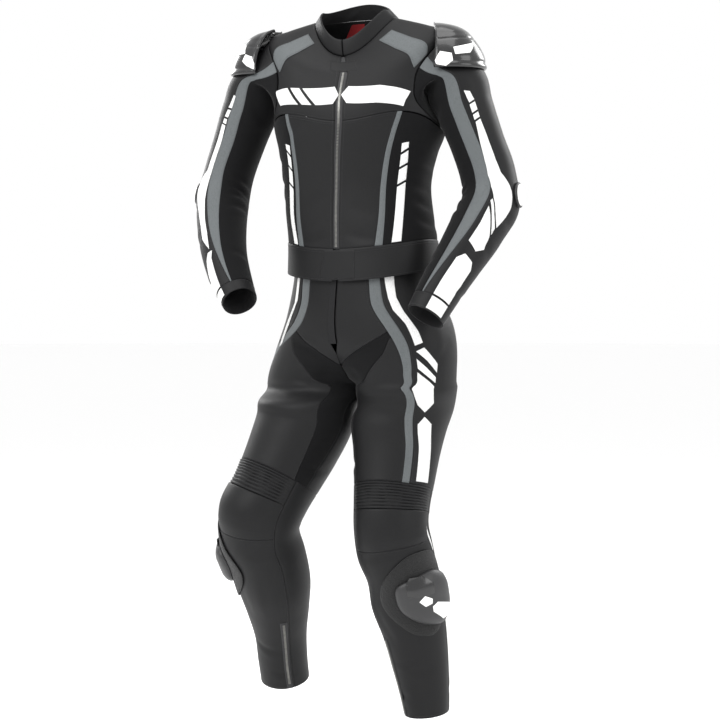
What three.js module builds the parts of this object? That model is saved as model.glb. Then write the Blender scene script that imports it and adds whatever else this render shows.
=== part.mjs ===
// Two-piece motorcycle race suit, jacket over trousers, standing as it is filled out when worn.
// Every cloth piece is a wall cut from the skin of a torso, an arm or a leg, and each skin runs
// smoothly through rings that a table gives, a row for each ring.
// Millimetres. +X is the wearer's left, -Y the front, +Z up. The origin is where the shoulders
// carry the suit: on the middle line, level with the foot of the neck.
import * as THREE from "three";

// Driving sizes
const WALL = 2.4; // leather with its fixed lining
const SEAM_GAP = 0.3; // between two panels that are sewn edge to edge
const LAY_GAP = 0.7; // under a piece that lies on a panel
const TURN = Math.PI * 2;
const LEFT = 1;
const RIGHT = -1;

const leather = new THREE.MeshStandardMaterial({ color: 0x2d2d2d, roughness: 0.5 });
const stretch = new THREE.MeshStandardMaterial({ color: 0x151518, roughness: 0.9 });
const greyLeather = new THREE.MeshStandardMaterial({ color: 0x6c6f70, roughness: 0.5 });
const whiteLeather = new THREE.MeshStandardMaterial({ color: 0xf3f3f2, roughness: 0.5 });
const glossShell = new THREE.MeshStandardMaterial({ color: 0x0c0c0d, roughness: 0.15 });
const velcro = new THREE.MeshStandardMaterial({ color: 0x0e0e0e, roughness: 1 });
const sliderPlastic = new THREE.MeshStandardMaterial({ color: 0x2a2a2b, roughness: 0.4 });
const whiteShell = new THREE.MeshStandardMaterial({ color: 0xdededc, roughness: 0.3 });
const labelCloth = new THREE.MeshStandardMaterial({ color: 0xb02a2c, roughness: 0.8 });
const zipTape = new THREE.MeshStandardMaterial({ color: 0x141415, roughness: 0.8 });

const suit = new THREE.Group();

// Curves and rings

const degrees = (angle) => (angle * Math.PI) / 180;
const mix = (a, b, share) => a + (b - a) * share;
const clamp = (value, low, high) => Math.min(high, Math.max(low, value));
const ease = (share) => share * share * (3 - 2 * share);
const sideName = (side) => (side === LEFT ? "left" : "right");

// The smooth value at "at" through samples that lie at the given stations.
function through(stations, samples, at) {
  const last = stations.length - 1;
  let i = 0;
  while (i < last - 1 && at > stations[i + 1]) i++;
  const span = (k) => stations[k + 1] - stations[k];
  const rise = (k) => (samples[k + 1] - samples[k]) / span(k);
  const slope = (k) => {
    if (k === 0) return rise(0);
    if (k === last) return rise(last - 1);
    return (rise(k - 1) * span(k) + rise(k) * span(k - 1)) / (span(k - 1) + span(k));
  };
  const t = (at - stations[i]) / span(i);
  const t2 = t * t;
  const t3 = t2 * t;
  return (
    samples[i] * (2 * t3 - 3 * t2 + 1) +
    samples[i + 1] * (3 * t2 - 2 * t3) +
    slope(i) * span(i) * (t3 - 2 * t2 + t) +
    slope(i + 1) * span(i) * (t3 - t2)
  );
}

// A curve through one column of a table.
function column(rows, name) {
  const stations = rows.map((row) => row.at);
  const samples = rows.map((row) => row[name]);
  return (at) => through(stations, samples, clamp(at, stations[0], stations.at(-1)));
}

// A skin through rings, each of which gives a point for an angle.
function skin(rings) {
  const stations = rings.map((ring) => ring.at);
  return (angle, at) => {
    const points = rings.map((ring) => ring.point(angle));
    const along = (axis) => through(stations, points.map((p) => p[axis]), at);
    return new THREE.Vector3(along("x"), along("y"), along("z"));
  };
}

// A point of a rounded oval: angle 0 is its front, a quarter turn its outer side.
function oval(angle, wide, fore, aft, square) {
  const s = Math.sin(angle);
  const c = Math.cos(angle);
  const reach = (Math.abs(s) ** square + Math.abs(c) ** square) ** (-1 / square);
  return { out: wide * s * reach, back: -(c > 0 ? fore : aft) * c * reach };
}

// The skin's outward direction at a point. facing is 1 where angle and way up turn right-handed.
function outward(surface, angle, at, facing) {
  const step = 0.01;
  const round = surface(angle + step, at).sub(surface(angle - step, at));
  const up = surface(angle, at + 1).sub(surface(angle, at - 1));
  return round.cross(up).normalize().multiplyScalar(facing);
}

// Wall panels

// A closed wall over a patch of a skin. rows are the stations of its lines, from and to its side
// edges as angles at a station, and out is how far its outer face stands off the skin.
function wallPanel(name, material, shape) {
  const { surface, facing, rows, from, to, columns } = shape;
  const wall = shape.wall ?? WALL;
  const out = shape.out ?? 0;
  const relief = shape.relief ?? (() => 0);
  const mitre = shape.mitre ?? (() => null);
  const closed = shape.closed ?? false;
  const gap = shape.gap ?? SEAM_GAP;
  const startGap = shape.startGap ?? gap;
  const endGap = shape.endGap ?? gap;
  const lines = closed ? columns : columns + 1;
  const outer = [];
  const inner = [];
  rows.forEach((station, j) => {
    const middle = mix(from(station), to(station), 0.5);
    const perUnit = surface(middle, station + 0.5).distanceTo(surface(middle, station - 0.5));
    const head = j === 0 ? startGap / 2 / perUnit : 0;
    const foot = j === rows.length - 1 ? endGap / 2 / perUnit : 0;
    const at = station + head - foot;
    const trim = (angle) => {
      const perAngle = surface(angle + 0.01, at).distanceTo(surface(angle - 0.01, at)) / 0.02;
      return closed ? 0 : gap / 2 / perAngle;
    };
    const start = from(at) + trim(from(at));
    const end = to(at) - trim(to(at));
    for (let i = 0; i < lines; i++) {
      const angle = mix(start, end, i / columns);
      const normal = outward(surface, angle, at, facing);
      const point = surface(angle, at);
      const inward = mitre(i / columns, j, at, normal) ?? normal;
      const along = j / (rows.length - 1);
      const base = typeof out === "function" ? out(along) : out;
      outer.push(point.clone().addScaledVector(normal, base + relief(i / columns, along)));
      inner.push(point.clone().addScaledVector(inward, base - wall));
    }
  });
  closeWall(name, material, { outer, inner, rowCount: rows.length, columns, closed, facing });
}

// Two grids of points, outer and inner face, closed into one wall.
function closeWall(name, material, grid) {
  const { outer, inner, rowCount, columns, closed, facing } = grid;
  const lines = closed ? columns : columns + 1;
  const below = outer.length;
  const top = rowCount - 1;
  const id = (j, i) => j * lines + (i % lines);
  const index = [];
  const quad = (a, b, c, d) => {
    if (facing > 0) index.push(a, b, c, a, c, d);
    else index.push(a, c, b, a, d, c);
  };
  for (let j = 0; j < top; j++)
    for (let i = 0; i < columns; i++) {
      const [a, b, c, d] = [id(j, i), id(j, i + 1), id(j + 1, i + 1), id(j + 1, i)];
      quad(a, b, c, d);
      quad(below + a, below + d, below + c, below + b);
    }
  for (let i = 0; i < columns; i++) {
    quad(id(0, i), below + id(0, i), below + id(0, i + 1), id(0, i + 1));
    quad(id(top, i), id(top, i + 1), below + id(top, i + 1), below + id(top, i));
  }
  for (let j = 0; j < top && !closed; j++) {
    quad(id(j, 0), id(j + 1, 0), below + id(j + 1, 0), below + id(j, 0));
    quad(id(j, columns), below + id(j, columns), below + id(j + 1, columns), id(j + 1, columns));
  }
  addMesh(name, material, [...outer, ...inner], index);
}

// A piece that lies on a skin. spot gives an angle and a station for shares across and along it.
function layPiece(name, material, piece) {
  const { surface, facing, spot, columns, rows, out, wall } = piece;
  const outer = [];
  const inner = [];
  for (let j = 0; j <= rows; j++)
    for (let i = 0; i <= columns; i++) {
      const { angle, at } = spot(i / columns, j / rows);
      const normal = outward(surface, angle, at, facing);
      const point = surface(angle, at);
      outer.push(point.clone().addScaledVector(normal, out + wall));
      inner.push(point.clone().addScaledVector(normal, out));
    }
  closeWall(name, material, { outer, inner, rowCount: rows + 1, columns, closed: false, facing });
}

// A round piece on a skin. rim gives a spot for a share of the way round, and height the
// thickness for a share of the way from the middle to the rim.
function layDisc(name, material, piece) {
  const { surface, facing, middle, rim, height, out, around, rings } = piece;
  const outer = [];
  const inner = [];
  const place = (spot, share) => {
    const normal = outward(surface, spot.angle, spot.at, facing);
    const point = surface(spot.angle, spot.at);
    outer.push(point.clone().addScaledVector(normal, out + height(share)));
    inner.push(point.clone().addScaledVector(normal, out));
  };
  place(middle, 0);
  for (let k = 1; k <= rings; k++)
    for (let i = 0; i < around; i++) {
      const edge = rim(i / around);
      const share = k / rings;
      place({ angle: mix(middle.angle, edge.angle, share), at: mix(middle.at, edge.at, share) }, share);
    }
  const below = outer.length;
  const id = (k, i) => 1 + (k - 1) * around + (i % around);
  const index = [];
  const triangle = (a, b, c) => (facing > 0 ? index.push(a, b, c) : index.push(a, c, b));
  for (let i = 0; i < around; i++) {
    triangle(0, id(1, i), id(1, i + 1));
    triangle(below, below + id(1, i + 1), below + id(1, i));
    for (let k = 1; k < rings; k++) {
      const [a, b, c, d] = [id(k, i), id(k + 1, i), id(k + 1, i + 1), id(k, i + 1)];
      triangle(a, b, c);
      triangle(a, c, d);
      triangle(below + a, below + c, below + b);
      triangle(below + a, below + d, below + c);
    }
    const [a, b] = [id(rings, i), id(rings, i + 1)];
    triangle(a, below + a, below + b);
    triangle(a, below + b, b);
  }
  addMesh(name, material, [...outer, ...inner], index);
}

function addMesh(name, material, points, index) {
  const positions = points.flatMap((p) => [p.x, p.y, p.z]);
  const geometry = new THREE.BufferGeometry();
  geometry.setAttribute("position", new THREE.Float32BufferAttribute(positions, 3));
  geometry.setIndex(index);
  geometry.computeVertexNormals();
  const mesh = new THREE.Mesh(geometry, material);
  mesh.name = name;
  suit.add(mesh);
}

// Stations from one value to another in equal steps.
const steps = (low, high, count) =>
  Array.from({ length: count + 1 }, (_, i) => mix(low, high, i / count));

// Stations that crowd towards both ends, for an edge that rounds over there.
const roundSteps = (low, high, count) =>
  Array.from({ length: count + 1 }, (_, i) => mix(low, high, (1 - Math.cos((Math.PI * i) / count)) / 2));

const constant = (value) => () => value;

// Torso of the jacket

// A row for each ring: heights at front, side and back, the rise between front and side,
// half-width, depths to front and back, squareness, the turn about Z and the ring's middle.
const TORSO = [
  { at: 0, front: -483, side: -462, back: -470, rise: 0, wide: 160, fore: 110, aft: 110, square: 2.3, turn: -9, x: 3, y: 4 },
  { at: 64, front: -419, side: -400, back: -408, rise: 0, wide: 156, fore: 105, aft: 104, square: 2.3, turn: -8, x: 0, y: 3 },
  { at: 120, front: -362, side: -348, back: -352, rise: 0, wide: 153, fore: 103, aft: 100, square: 2.3, turn: -5, x: -6, y: 2 },
  { at: 185, front: -296, side: -290, back: -288, rise: 4, wide: 151, fore: 104, aft: 102, square: 2.3, turn: -1, x: -11, y: 2 },
  { at: 250, front: -230, side: -230, back: -224, rise: 12, wide: 161, fore: 110, aft: 112, square: 2.35, turn: 0, x: -9, y: 2 },
  { at: 302, front: -170, side: -180, back: -172, rise: 22, wide: 175, fore: 115, aft: 120, square: 2.4, turn: 1, x: -6, y: 2 },
  { at: 342, front: -134, side: -112, back: -128, rise: 8, wide: 180, fore: 112, aft: 124, square: 2.4, turn: 2, x: -8, y: 2 },
  { at: 382, front: -102, side: -42, back: -84, rise: 0, wide: 184, fore: 103, aft: 122, square: 2.3, turn: 2, x: -8, y: 4 },
  { at: 422, front: -76, side: 6, back: -42, rise: 0, wide: 188, fore: 92, aft: 114, square: 2.2, turn: 2, x: -8, y: 6 },
  { at: 462, front: -60, side: 21, back: -2, rise: 0, wide: 150, fore: 80, aft: 102, square: 2.1, turn: 0, x: -11, y: 8 },
  { at: 496, front: -48, side: 31, back: 28, rise: 0, wide: 115, fore: 70, aft: 86, square: 2, turn: -2, x: -14, y: 10 },
  { at: 522, front: -38, side: 38, back: 46, rise: 0, wide: 88, fore: 62, aft: 70, square: 2, turn: -4, x: -16, y: 12 },
];
const HEM = 0;
const BAND_TOP = 64;
const ARMPIT = 302;
const SHOULDER_TIP = 422;
const NECK_SEAM = 522;
const TORSO_FACING = 1;

function torsoRing(row) {
  const turn = degrees(row.turn);
  const point = (angle) => {
    const { out, back } = oval(angle, row.wide, row.fore, row.aft, row.square);
    const c = Math.cos(angle);
    const z = mix(row.side, c > 0 ? row.front : row.back, c * c);
    const diagonal = Math.sin(2 * angle) ** 2 * (c > 0 ? row.rise : 0);
    const x = row.x + out * Math.cos(turn) - back * Math.sin(turn);
    const y = row.y + out * Math.sin(turn) + back * Math.cos(turn);
    return { x, y, z: z + diagonal };
  };
  return { at: row.at, point };
}
const torso = skin(TORSO.map(torsoRing));

// The armhole is an oval in the skin's own measures. Its angle starts at the front and runs
// over the shoulder to the back.
const ARMHOLE_MIDDLE = (ARMPIT + SHOULDER_TIP) / 2;
const ARMHOLE_HALF = (SHOULDER_TIP - ARMPIT) / 2;
const ARMHOLE_REACH = degrees(42);
const ARMHOLE_SQUARE = 3.4; // of its lower half, which has the gusset's corners
const ARMHOLE_STEPS = 10;
const QUARTER = Math.PI / 2;

// The armhole's spot in the skin's own measures.
function armholeSpot(side, angle) {
  const low = Math.sin(angle) < 0;
  const power = low ? 2 / ARMHOLE_SQUARE : 1;
  const reach = Math.sign(Math.cos(angle)) * Math.abs(Math.cos(angle)) ** power;
  const lift = Math.sign(Math.sin(angle)) * Math.abs(Math.sin(angle)) ** power;
  return { round: side * (QUARTER - ARMHOLE_REACH * reach), at: ARMHOLE_MIDDLE + ARMHOLE_HALF * lift };
}

function armholePoint(side, angle) {
  const spot = armholeSpot(side, angle);
  return torso(spot.round, spot.at);
}

function armholeReach(at) {
  const share = clamp((at - ARMHOLE_MIDDLE) / ARMHOLE_HALF, -1, 1);
  const square = share < 0 ? ARMHOLE_SQUARE : 2;
  return ARMHOLE_REACH * (1 - Math.abs(share) ** square) ** (1 / square);
}

// The armhole's angle where a torso line meets it, in front or behind.
function armholeAngle(at, behind) {
  const share = clamp((at - ARMHOLE_MIDDLE) / ARMHOLE_HALF, -1, 1);
  const lift = Math.sign(share) * Math.asin(Math.abs(share) ** (share < 0 ? ARMHOLE_SQUARE / 2 : 1));
  return behind ? Math.PI - lift : lift;
}

// Limbs: arms and legs

// The middle line's direction at each row of a limb's table, pointing down the limb.
function downLimb(rows, i) {
  const before = rows[Math.max(i - 1, 0)];
  const after = rows[Math.min(i + 1, rows.length - 1)];
  const along = new THREE.Vector3(after.x - before.x, after.y - before.y, after.z - before.z);
  const straight = new THREE.Vector3(0, 0, -1);
  return straight.lerp(along.normalize(), rows[i].tilt).normalize();
}

// A limb's ring lies square to its middle line. Angle 0 is the front, a quarter turn the outer side.
function limbRing(rows, i, side) {
  const row = rows[i];
  const down = downLimb(rows, i);
  const turn = degrees(row.turn);
  const front = new THREE.Vector3(Math.sin(turn), -Math.cos(turn), 0);
  front.addScaledVector(down, -front.dot(down)).normalize();
  const outer = front.clone().cross(down).multiplyScalar(side);
  const point = (angle) => {
    const { out, back } = oval(angle, row.wide, row.fore, row.aft, 2.1);
    return new THREE.Vector3(row.x, row.y, row.z)
      .addScaledVector(outer, out)
      .addScaledVector(front, -back);
  };
  return { at: row.at, point };
}

// Arms. Each row has the ring's middle, its half-width across, its depths to front and back.
const ARM = {
  [LEFT]: [
    { at: 62, x: 191, y: 6, z: -88, wide: 62, fore: 62, aft: 68, turn: 5, tilt: 0.8 },
    { at: 122, x: 214, y: 8, z: -146, wide: 57, fore: 58, aft: 62, turn: 5, tilt: 1 },
    { at: 190, x: 239, y: 10, z: -211, wide: 53, fore: 53, aft: 57, turn: 2, tilt: 1 },
    { at: 256, x: 261, y: 12, z: -276, wide: 54, fore: 53, aft: 56, turn: 0, tilt: 1 },
    { at: 310, x: 269, y: 2, z: -328, wide: 57, fore: 54, aft: 60, turn: -8, tilt: 1 },
    { at: 368, x: 254, y: -32, z: -380, wide: 54, fore: 52, aft: 54, turn: -14, tilt: 1 },
    { at: 446, x: 229, y: -76, z: -445, wide: 47, fore: 47, aft: 47, turn: -18, tilt: 1 },
    { at: 520, x: 203, y: -116, z: -507, wide: 41, fore: 42, aft: 42, turn: -20, tilt: 1 },
    { at: 572, x: 187, y: -141, z: -550, wide: 37, fore: 39, aft: 39, turn: -20, tilt: 1 },
  ],
  [RIGHT]: [
    { at: 62, x: -220, y: 4, z: -86, wide: 58, fore: 62, aft: 66, turn: -5, tilt: 0.8 },
    { at: 122, x: -248, y: 2, z: -142, wide: 55, fore: 57, aft: 60, turn: -5, tilt: 1 },
    { at: 190, x: -271, y: -2, z: -206, wide: 51, fore: 53, aft: 56, turn: 0, tilt: 1 },
    { at: 256, x: -290, y: -8, z: -268, wide: 50, fore: 52, aft: 55, turn: 2, tilt: 1 },
    { at: 310, x: -297, y: -20, z: -318, wide: 53, fore: 52, aft: 58, turn: 10, tilt: 1 },
    { at: 368, x: -286, y: -48, z: -368, wide: 50, fore: 50, aft: 52, turn: 16, tilt: 1 },
    { at: 446, x: -262, y: -86, z: -432, wide: 45, fore: 46, aft: 46, turn: 20, tilt: 1 },
    { at: 520, x: -228, y: -120, z: -490, wide: 40, fore: 42, aft: 42, turn: 22, tilt: 1 },
    { at: 564, x: -204, y: -140, z: -522, wide: 35, fore: 39, aft: 39, turn: 22, tilt: 1 },
  ],
};
const armSkin = (side) => {
  const armhole = { at: 0, point: (angle) => armholePoint(side, angle) };
  return skin([armhole, ...ARM[side].map((_, i) => limbRing(ARM[side], i, side))]);
};

// Legs. The pelvis is one oval that both legs share; each half of it narrows into a leg's own
// ring over the crotch, whose curve is a half oval in the suit's middle plane.
const PELVIS = [
  { at: 0, z: -395, x: 0, y: 2, left: 140, right: 140, fore: 93, aft: 94, turn: -10 },
  { at: 88, z: -483, x: -1, y: 2, left: 151, right: 147, fore: 98, aft: 102, turn: -12 },
  { at: 165, z: -560, x: -4, y: 2, left: 192, right: 167, fore: 98, aft: 138, turn: -14 },
  { at: 230, z: -620, x: -4, y: 2, left: 205, right: 195, fore: 97, aft: 146, turn: -14 },
  { at: 300, z: -690, x: -4, y: 6, left: 202, right: 223, fore: 96, aft: 132, turn: -14 },
  { at: 308, z: -698, x: -4, y: 6, left: 201, right: 223, fore: 96, aft: 132, turn: -14 },
];
const CROTCH = { at: 300, z: -690, rise: 135, halfFront: 88, halfBack: 104, back: 8 };

const LEG = {
  [LEFT]: [
    { at: 340, x: 90, y: 3, z: -730, wide: 96, fore: 88, aft: 100, turn: -12, tilt: 0.2 },
    { at: 382, x: 79, y: -2, z: -772, wide: 95, fore: 86, aft: 92, turn: -4, tilt: 0.6 },
    { at: 434, x: 78.7, y: -12, z: -823, wide: 86, fore: 82, aft: 84, turn: 5, tilt: 1 },
    { at: 486, x: 79.6, y: -26, z: -873, wide: 80, fore: 78, aft: 78, turn: 10, tilt: 1 },
    { at: 536, x: 79.8, y: -40, z: -921, wide: 75.5, fore: 76, aft: 74, turn: 13, tilt: 1 },
    { at: 580, x: 81.2, y: -46, z: -964, wide: 74.5, fore: 78, aft: 72, turn: 13, tilt: 1 },
    { at: 628, x: 85.5, y: -38, z: -1011, wide: 76, fore: 74, aft: 72, turn: 13, tilt: 1 },
    { at: 682, x: 95, y: -22, z: -1062, wide: 71, fore: 67, aft: 72, turn: 13, tilt: 1 },
    { at: 742, x: 98, y: -4, z: -1119, wide: 71, fore: 63, aft: 70, turn: 13, tilt: 1 },
    { at: 806, x: 107.6, y: 14, z: -1180, wide: 64, fore: 58, aft: 64, turn: 13, tilt: 1 },
    { at: 870, x: 113, y: 30, z: -1241, wide: 57.5, fore: 54, aft: 57, turn: 13, tilt: 1 },
    { at: 930, x: 118, y: 42, z: -1300, wide: 50.5, fore: 50, aft: 51, turn: 13, tilt: 1 },
    { at: 978, x: 121, y: 49, z: -1347, wide: 45, fore: 47, aft: 47, turn: 13, tilt: 1 },
  ],
  [RIGHT]: [
    { at: 340, x: -119, y: 2, z: -728, wide: 102, fore: 90, aft: 100, turn: -15, tilt: 0.3 },
    { at: 382, x: -125.7, y: -4, z: -768, wide: 98, fore: 90, aft: 96, turn: -17, tilt: 0.7 },
    { at: 434, x: -141, y: -18, z: -814, wide: 91, fore: 88, aft: 90, turn: -20, tilt: 1 },
    { at: 486, x: -157, y: -36, z: -860, wide: 85, fore: 84, aft: 84, turn: -22, tilt: 1 },
    { at: 536, x: -173.4, y: -54, z: -904, wide: 80, fore: 80, aft: 80, turn: -23, tilt: 1 },
    { at: 580, x: -188.8, y: -64, z: -945, wide: 80, fore: 88, aft: 78, turn: -23, tilt: 1 },
    { at: 628, x: -197.4, y: -56, z: -992, wide: 77, fore: 81, aft: 78, turn: -23, tilt: 1 },
    { at: 682, x: -192.3, y: -34, z: -1042, wide: 76, fore: 74, aft: 78, turn: -23, tilt: 1 },
    { at: 742, x: -192, y: -6, z: -1096, wide: 74, fore: 70, aft: 76, turn: -23, tilt: 1 },
    { at: 806, x: -197, y: 24, z: -1152, wide: 64, fore: 60, aft: 66, turn: -23, tilt: 1 },
    { at: 870, x: -202, y: 52, z: -1208, wide: 53, fore: 52, aft: 54, turn: -23, tilt: 1 },
    { at: 930, x: -208, y: 76, z: -1262, wide: 50.5, fore: 50, aft: 51, turn: -23, tilt: 1 },
    { at: 978, x: -210, y: 93, z: -1306, wide: 50, fore: 49, aft: 49, turn: -23, tilt: 1 },
  ],
};

// A point given in the pelvis's own turned frame, for the pelvis at a station.
function pelvisPoint(at, out, back, z) {
  const read = (name) => column(PELVIS, name)(at);
  const turn = degrees(read("turn"));
  const x = read("x") + out * Math.cos(turn) - back * Math.sin(turn);
  const y = read("y") + out * Math.sin(turn) + back * Math.cos(turn);
  return new THREE.Vector3(x, y, z);
}

// Half of the pelvis, blended with the leg's own ring by share: 1 is all pelvis.
function pelvisRing(at, side, share) {
  const read = (name) => column(PELVIS, name)(at);
  const z = read("z");
  const point = (angle) => {
    const wide = read(sideName(side));
    const half = oval((angle + QUARTER) / 2, wide, read("fore"), read("aft"), 2.25);
    const ring = oval(angle, wide / 2, CROTCH.halfFront, CROTCH.halfBack, 2.1);
    const out = mix(ring.out + wide / 2 + 1, half.out, share);
    const back = mix(ring.back + CROTCH.back, half.back, share);
    return pelvisPoint(at, side * out, back, z);
  };
  return { at, point };
}

const CROTCH_STEPS = 5;
const crotchRings = (side) =>
  Array.from({ length: CROTCH_STEPS + 1 }, (_, i) => {
    const bend = (QUARTER * (CROTCH_STEPS - i)) / CROTCH_STEPS;
    const at = CROTCH.at - CROTCH.rise * (1 - Math.cos(bend));
    return pelvisRing(at, side, Math.sin(bend));
  });

const legSkin = (side) =>
  skin([
    ...[0, 45, 88, 128].map((at) => pelvisRing(at, side, 1)),
    ...crotchRings(side),
    pelvisRing(308, side, 0),
    ...LEG[side].map((_, i) => limbRing(LEG[side], i, side)),
  ]);


// Panels of the torso

// The torso's seams on one half, as angles from the middle of the front.
const TORSO_SEAMS = [
  { at: 64, greyFront: 30, greyBack: 36, sideBack: 122 },
  { at: 120, greyFront: 33, greyBack: 38, sideBack: 122 },
  { at: 185, greyFront: 34, greyBack: 38.5, sideBack: 122 },
  { at: 250, greyFront: 35.5, greyBack: 39.5, sideBack: 125 },
  { at: 302, greyFront: 38.5, greyBack: 42, sideBack: 131 },
];
const seam = (table, name) => {
  const curve = column(table, name);
  return (at) => degrees(curve(at));
};
const ZIP_HALF = degrees(2.4);
const BACK_MIDDLE = Math.PI;
const torsoLow = steps(BAND_TOP, ARMPIT, 8);
const torsoHigh = [...roundSteps(ARMPIT, SHOULDER_TIP, ARMHOLE_STEPS), ...steps(SHOULDER_TIP, NECK_SEAM, 4).slice(1)];

function torsoPanel(name, material, side, edges) {
  const from = side === LEFT ? edges.front : (at) => -edges.back(at);
  const to = side === LEFT ? edges.back : (at) => -edges.front(at);
  wallPanel(name, material, { surface: torso, facing: TORSO_FACING, ...edges, from, to });
}

const sleeves = { [LEFT]: armSkin(LEFT), [RIGHT]: armSkin(RIGHT) };
const armFacing = (side) => -side;

// At the armhole the walls of body and sleeve share one inward direction, so their rims stay apart.
function armholeMitre(side, angle) {
  const spot = armholeSpot(side, angle);
  const body = outward(torso, spot.round, spot.at, TORSO_FACING);
  const sleeve = outward(sleeves[side], angle, 3, armFacing(side));
  return body.add(sleeve).normalize();
}

for (const side of [LEFT, RIGHT]) {
  const hand = sideName(side);
  const greyFront = seam(TORSO_SEAMS, "greyFront");
  const greyBack = seam(TORSO_SEAMS, "greyBack");
  const sideBack = seam(TORSO_SEAMS, "sideBack");
  const zip = constant(ZIP_HALF);
  torsoPanel(`front_${hand}`, leather, side, { front: zip, back: greyFront, rows: torsoLow, columns: 5 });
  torsoPanel(`torso_grey_${hand}`, greyLeather, side, { front: greyFront, back: greyBack, rows: torsoLow, columns: 1 });
  torsoPanel(`side_${hand}`, stretch, side, { front: greyBack, back: sideBack, rows: torsoLow, columns: 7, endGap: 6 });
  const armholeEdge = side === LEFT ? 1 : 0;
  torsoPanel(`chest_${hand}`, leather, side, {
    front: zip,
    back: (at) => QUARTER - armholeReach(at),
    rows: torsoHigh,
    columns: 8,
    startGap: 1,
    mitre: (share, j, at) =>
      share === armholeEdge && at < SHOULDER_TIP ? armholeMitre(side, armholeAngle(at, false)) : null,
  });
  const bandRows = steps(HEM, BAND_TOP, 2);
  torsoPanel(`hem_band_${hand}`, leather, side, {
    front: zip,
    back: constant(BACK_MIDDLE),
    rows: bandRows,
    columns: 16,
    out: 1,
  });
}

wallPanel("back", leather, {
  surface: torso,
  facing: TORSO_FACING,
  from: seam(TORSO_SEAMS, "sideBack"),
  to: (at) => TURN - seam(TORSO_SEAMS, "sideBack")(at),
  rows: torsoLow,
  columns: 12,
});
wallPanel("back_yoke", leather, {
  surface: torso,
  facing: TORSO_FACING,
  from: (at) => QUARTER + armholeReach(at),
  to: (at) => TURN - QUARTER - armholeReach(at),
  rows: torsoHigh,
  columns: 12,
  startGap: 1,
  mitre: (share, j, at) => {
    if (at >= SHOULDER_TIP || (share > 0 && share < 1)) return null;
    return armholeMitre(share === 0 ? LEFT : RIGHT, armholeAngle(at, true));
  },
});

// Collar

// The stand collar leans in from the neck seam and is higher behind than in front.
const COLLAR = [
  { at: 0, front: -38, side: 38, back: 46, rise: 0, wide: 88, fore: 62, aft: 70, square: 2, turn: -4, x: -16, y: 12 },
  { at: 20, front: -21, side: 48, back: 62, rise: 0, wide: 76, fore: 60, aft: 65, square: 2.1, turn: -4, x: -17, y: 9 },
  { at: 40, front: -6, side: 56, back: 76, rise: 0, wide: 69, fore: 58, aft: 62, square: 2.2, turn: -4, x: -18, y: 6 },
];
wallPanel("collar", leather, {
  surface: skin(COLLAR.map(torsoRing)),
  facing: TORSO_FACING,
  from: constant(degrees(0.8)),
  to: constant(TURN - degrees(0.8)),
  rows: steps(0, 40, 3),
  columns: 26,
  startGap: 1,
});

// Sleeves

const SLEEVE_SEAMS = [
  { at: 0, greyFront: 20, greyBack: 36, innerBack: 212 },
  { at: 50, greyFront: -2, greyBack: 16, innerBack: 216 },
  { at: 95, greyFront: -13, greyBack: 12, innerBack: 222 },
  { at: 150, greyFront: -15, greyBack: 14, innerBack: 225 },
  { at: 235, greyFront: -11, greyBack: 21, innerBack: 225 },
  { at: 285, greyFront: -10, greyBack: 22, innerBack: 225 },
  { at: 410, greyFront: -3, greyBack: 22, innerBack: 225 },
  { at: 490, greyFront: -2, greyBack: 10, innerBack: 225 },
  { at: 540, greyFront: -4, greyBack: 1, innerBack: 225 },
];
const CUFF_TOP = 540;
const sleeveRows = [0, 12, 34, 62, 96, 140, 190, 236, 274, 310, 346, 388, 440, 492, CUFF_TOP];

for (const side of [LEFT, RIGHT]) {
  const hand = sideName(side);
  const common = { surface: sleeves[side], facing: armFacing(side), rows: sleeveRows, startGap: 4.8 };
  const greyFront = seam(SLEEVE_SEAMS, "greyFront");
  const greyBack = seam(SLEEVE_SEAMS, "greyBack");
  const innerBack = seam(SLEEVE_SEAMS, "innerBack");
  const rim = (edges) => (share, j) =>
    j === 0 ? armholeMitre(side, mix(edges.from(0), edges.to(0), share)) : null;
  const cut = (name, material, edges) =>
    wallPanel(`${name}_${hand}`, material, { ...common, ...edges, mitre: rim(edges) });
  cut("sleeve_grey", greyLeather, { from: greyFront, to: greyBack, columns: 1 });
  cut("sleeve_outer", leather, { from: greyBack, to: innerBack, columns: 9 });
  cut("sleeve_inner", stretch, { from: innerBack, to: (at) => greyFront(at) + TURN, columns: 8 });
  wallPanel(`cuff_${hand}`, leather, {
    surface: sleeves[side],
    facing: armFacing(side),
    from: constant(0),
    to: constant(TURN),
    rows: [CUFF_TOP, ARM[side].at(-1).at],
    columns: 18,
    closed: true,
  });
}

// Trousers

const legs = { [LEFT]: legSkin(LEFT), [RIGHT]: legSkin(RIGHT) };
const legFacing = (side) => -side;

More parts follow.
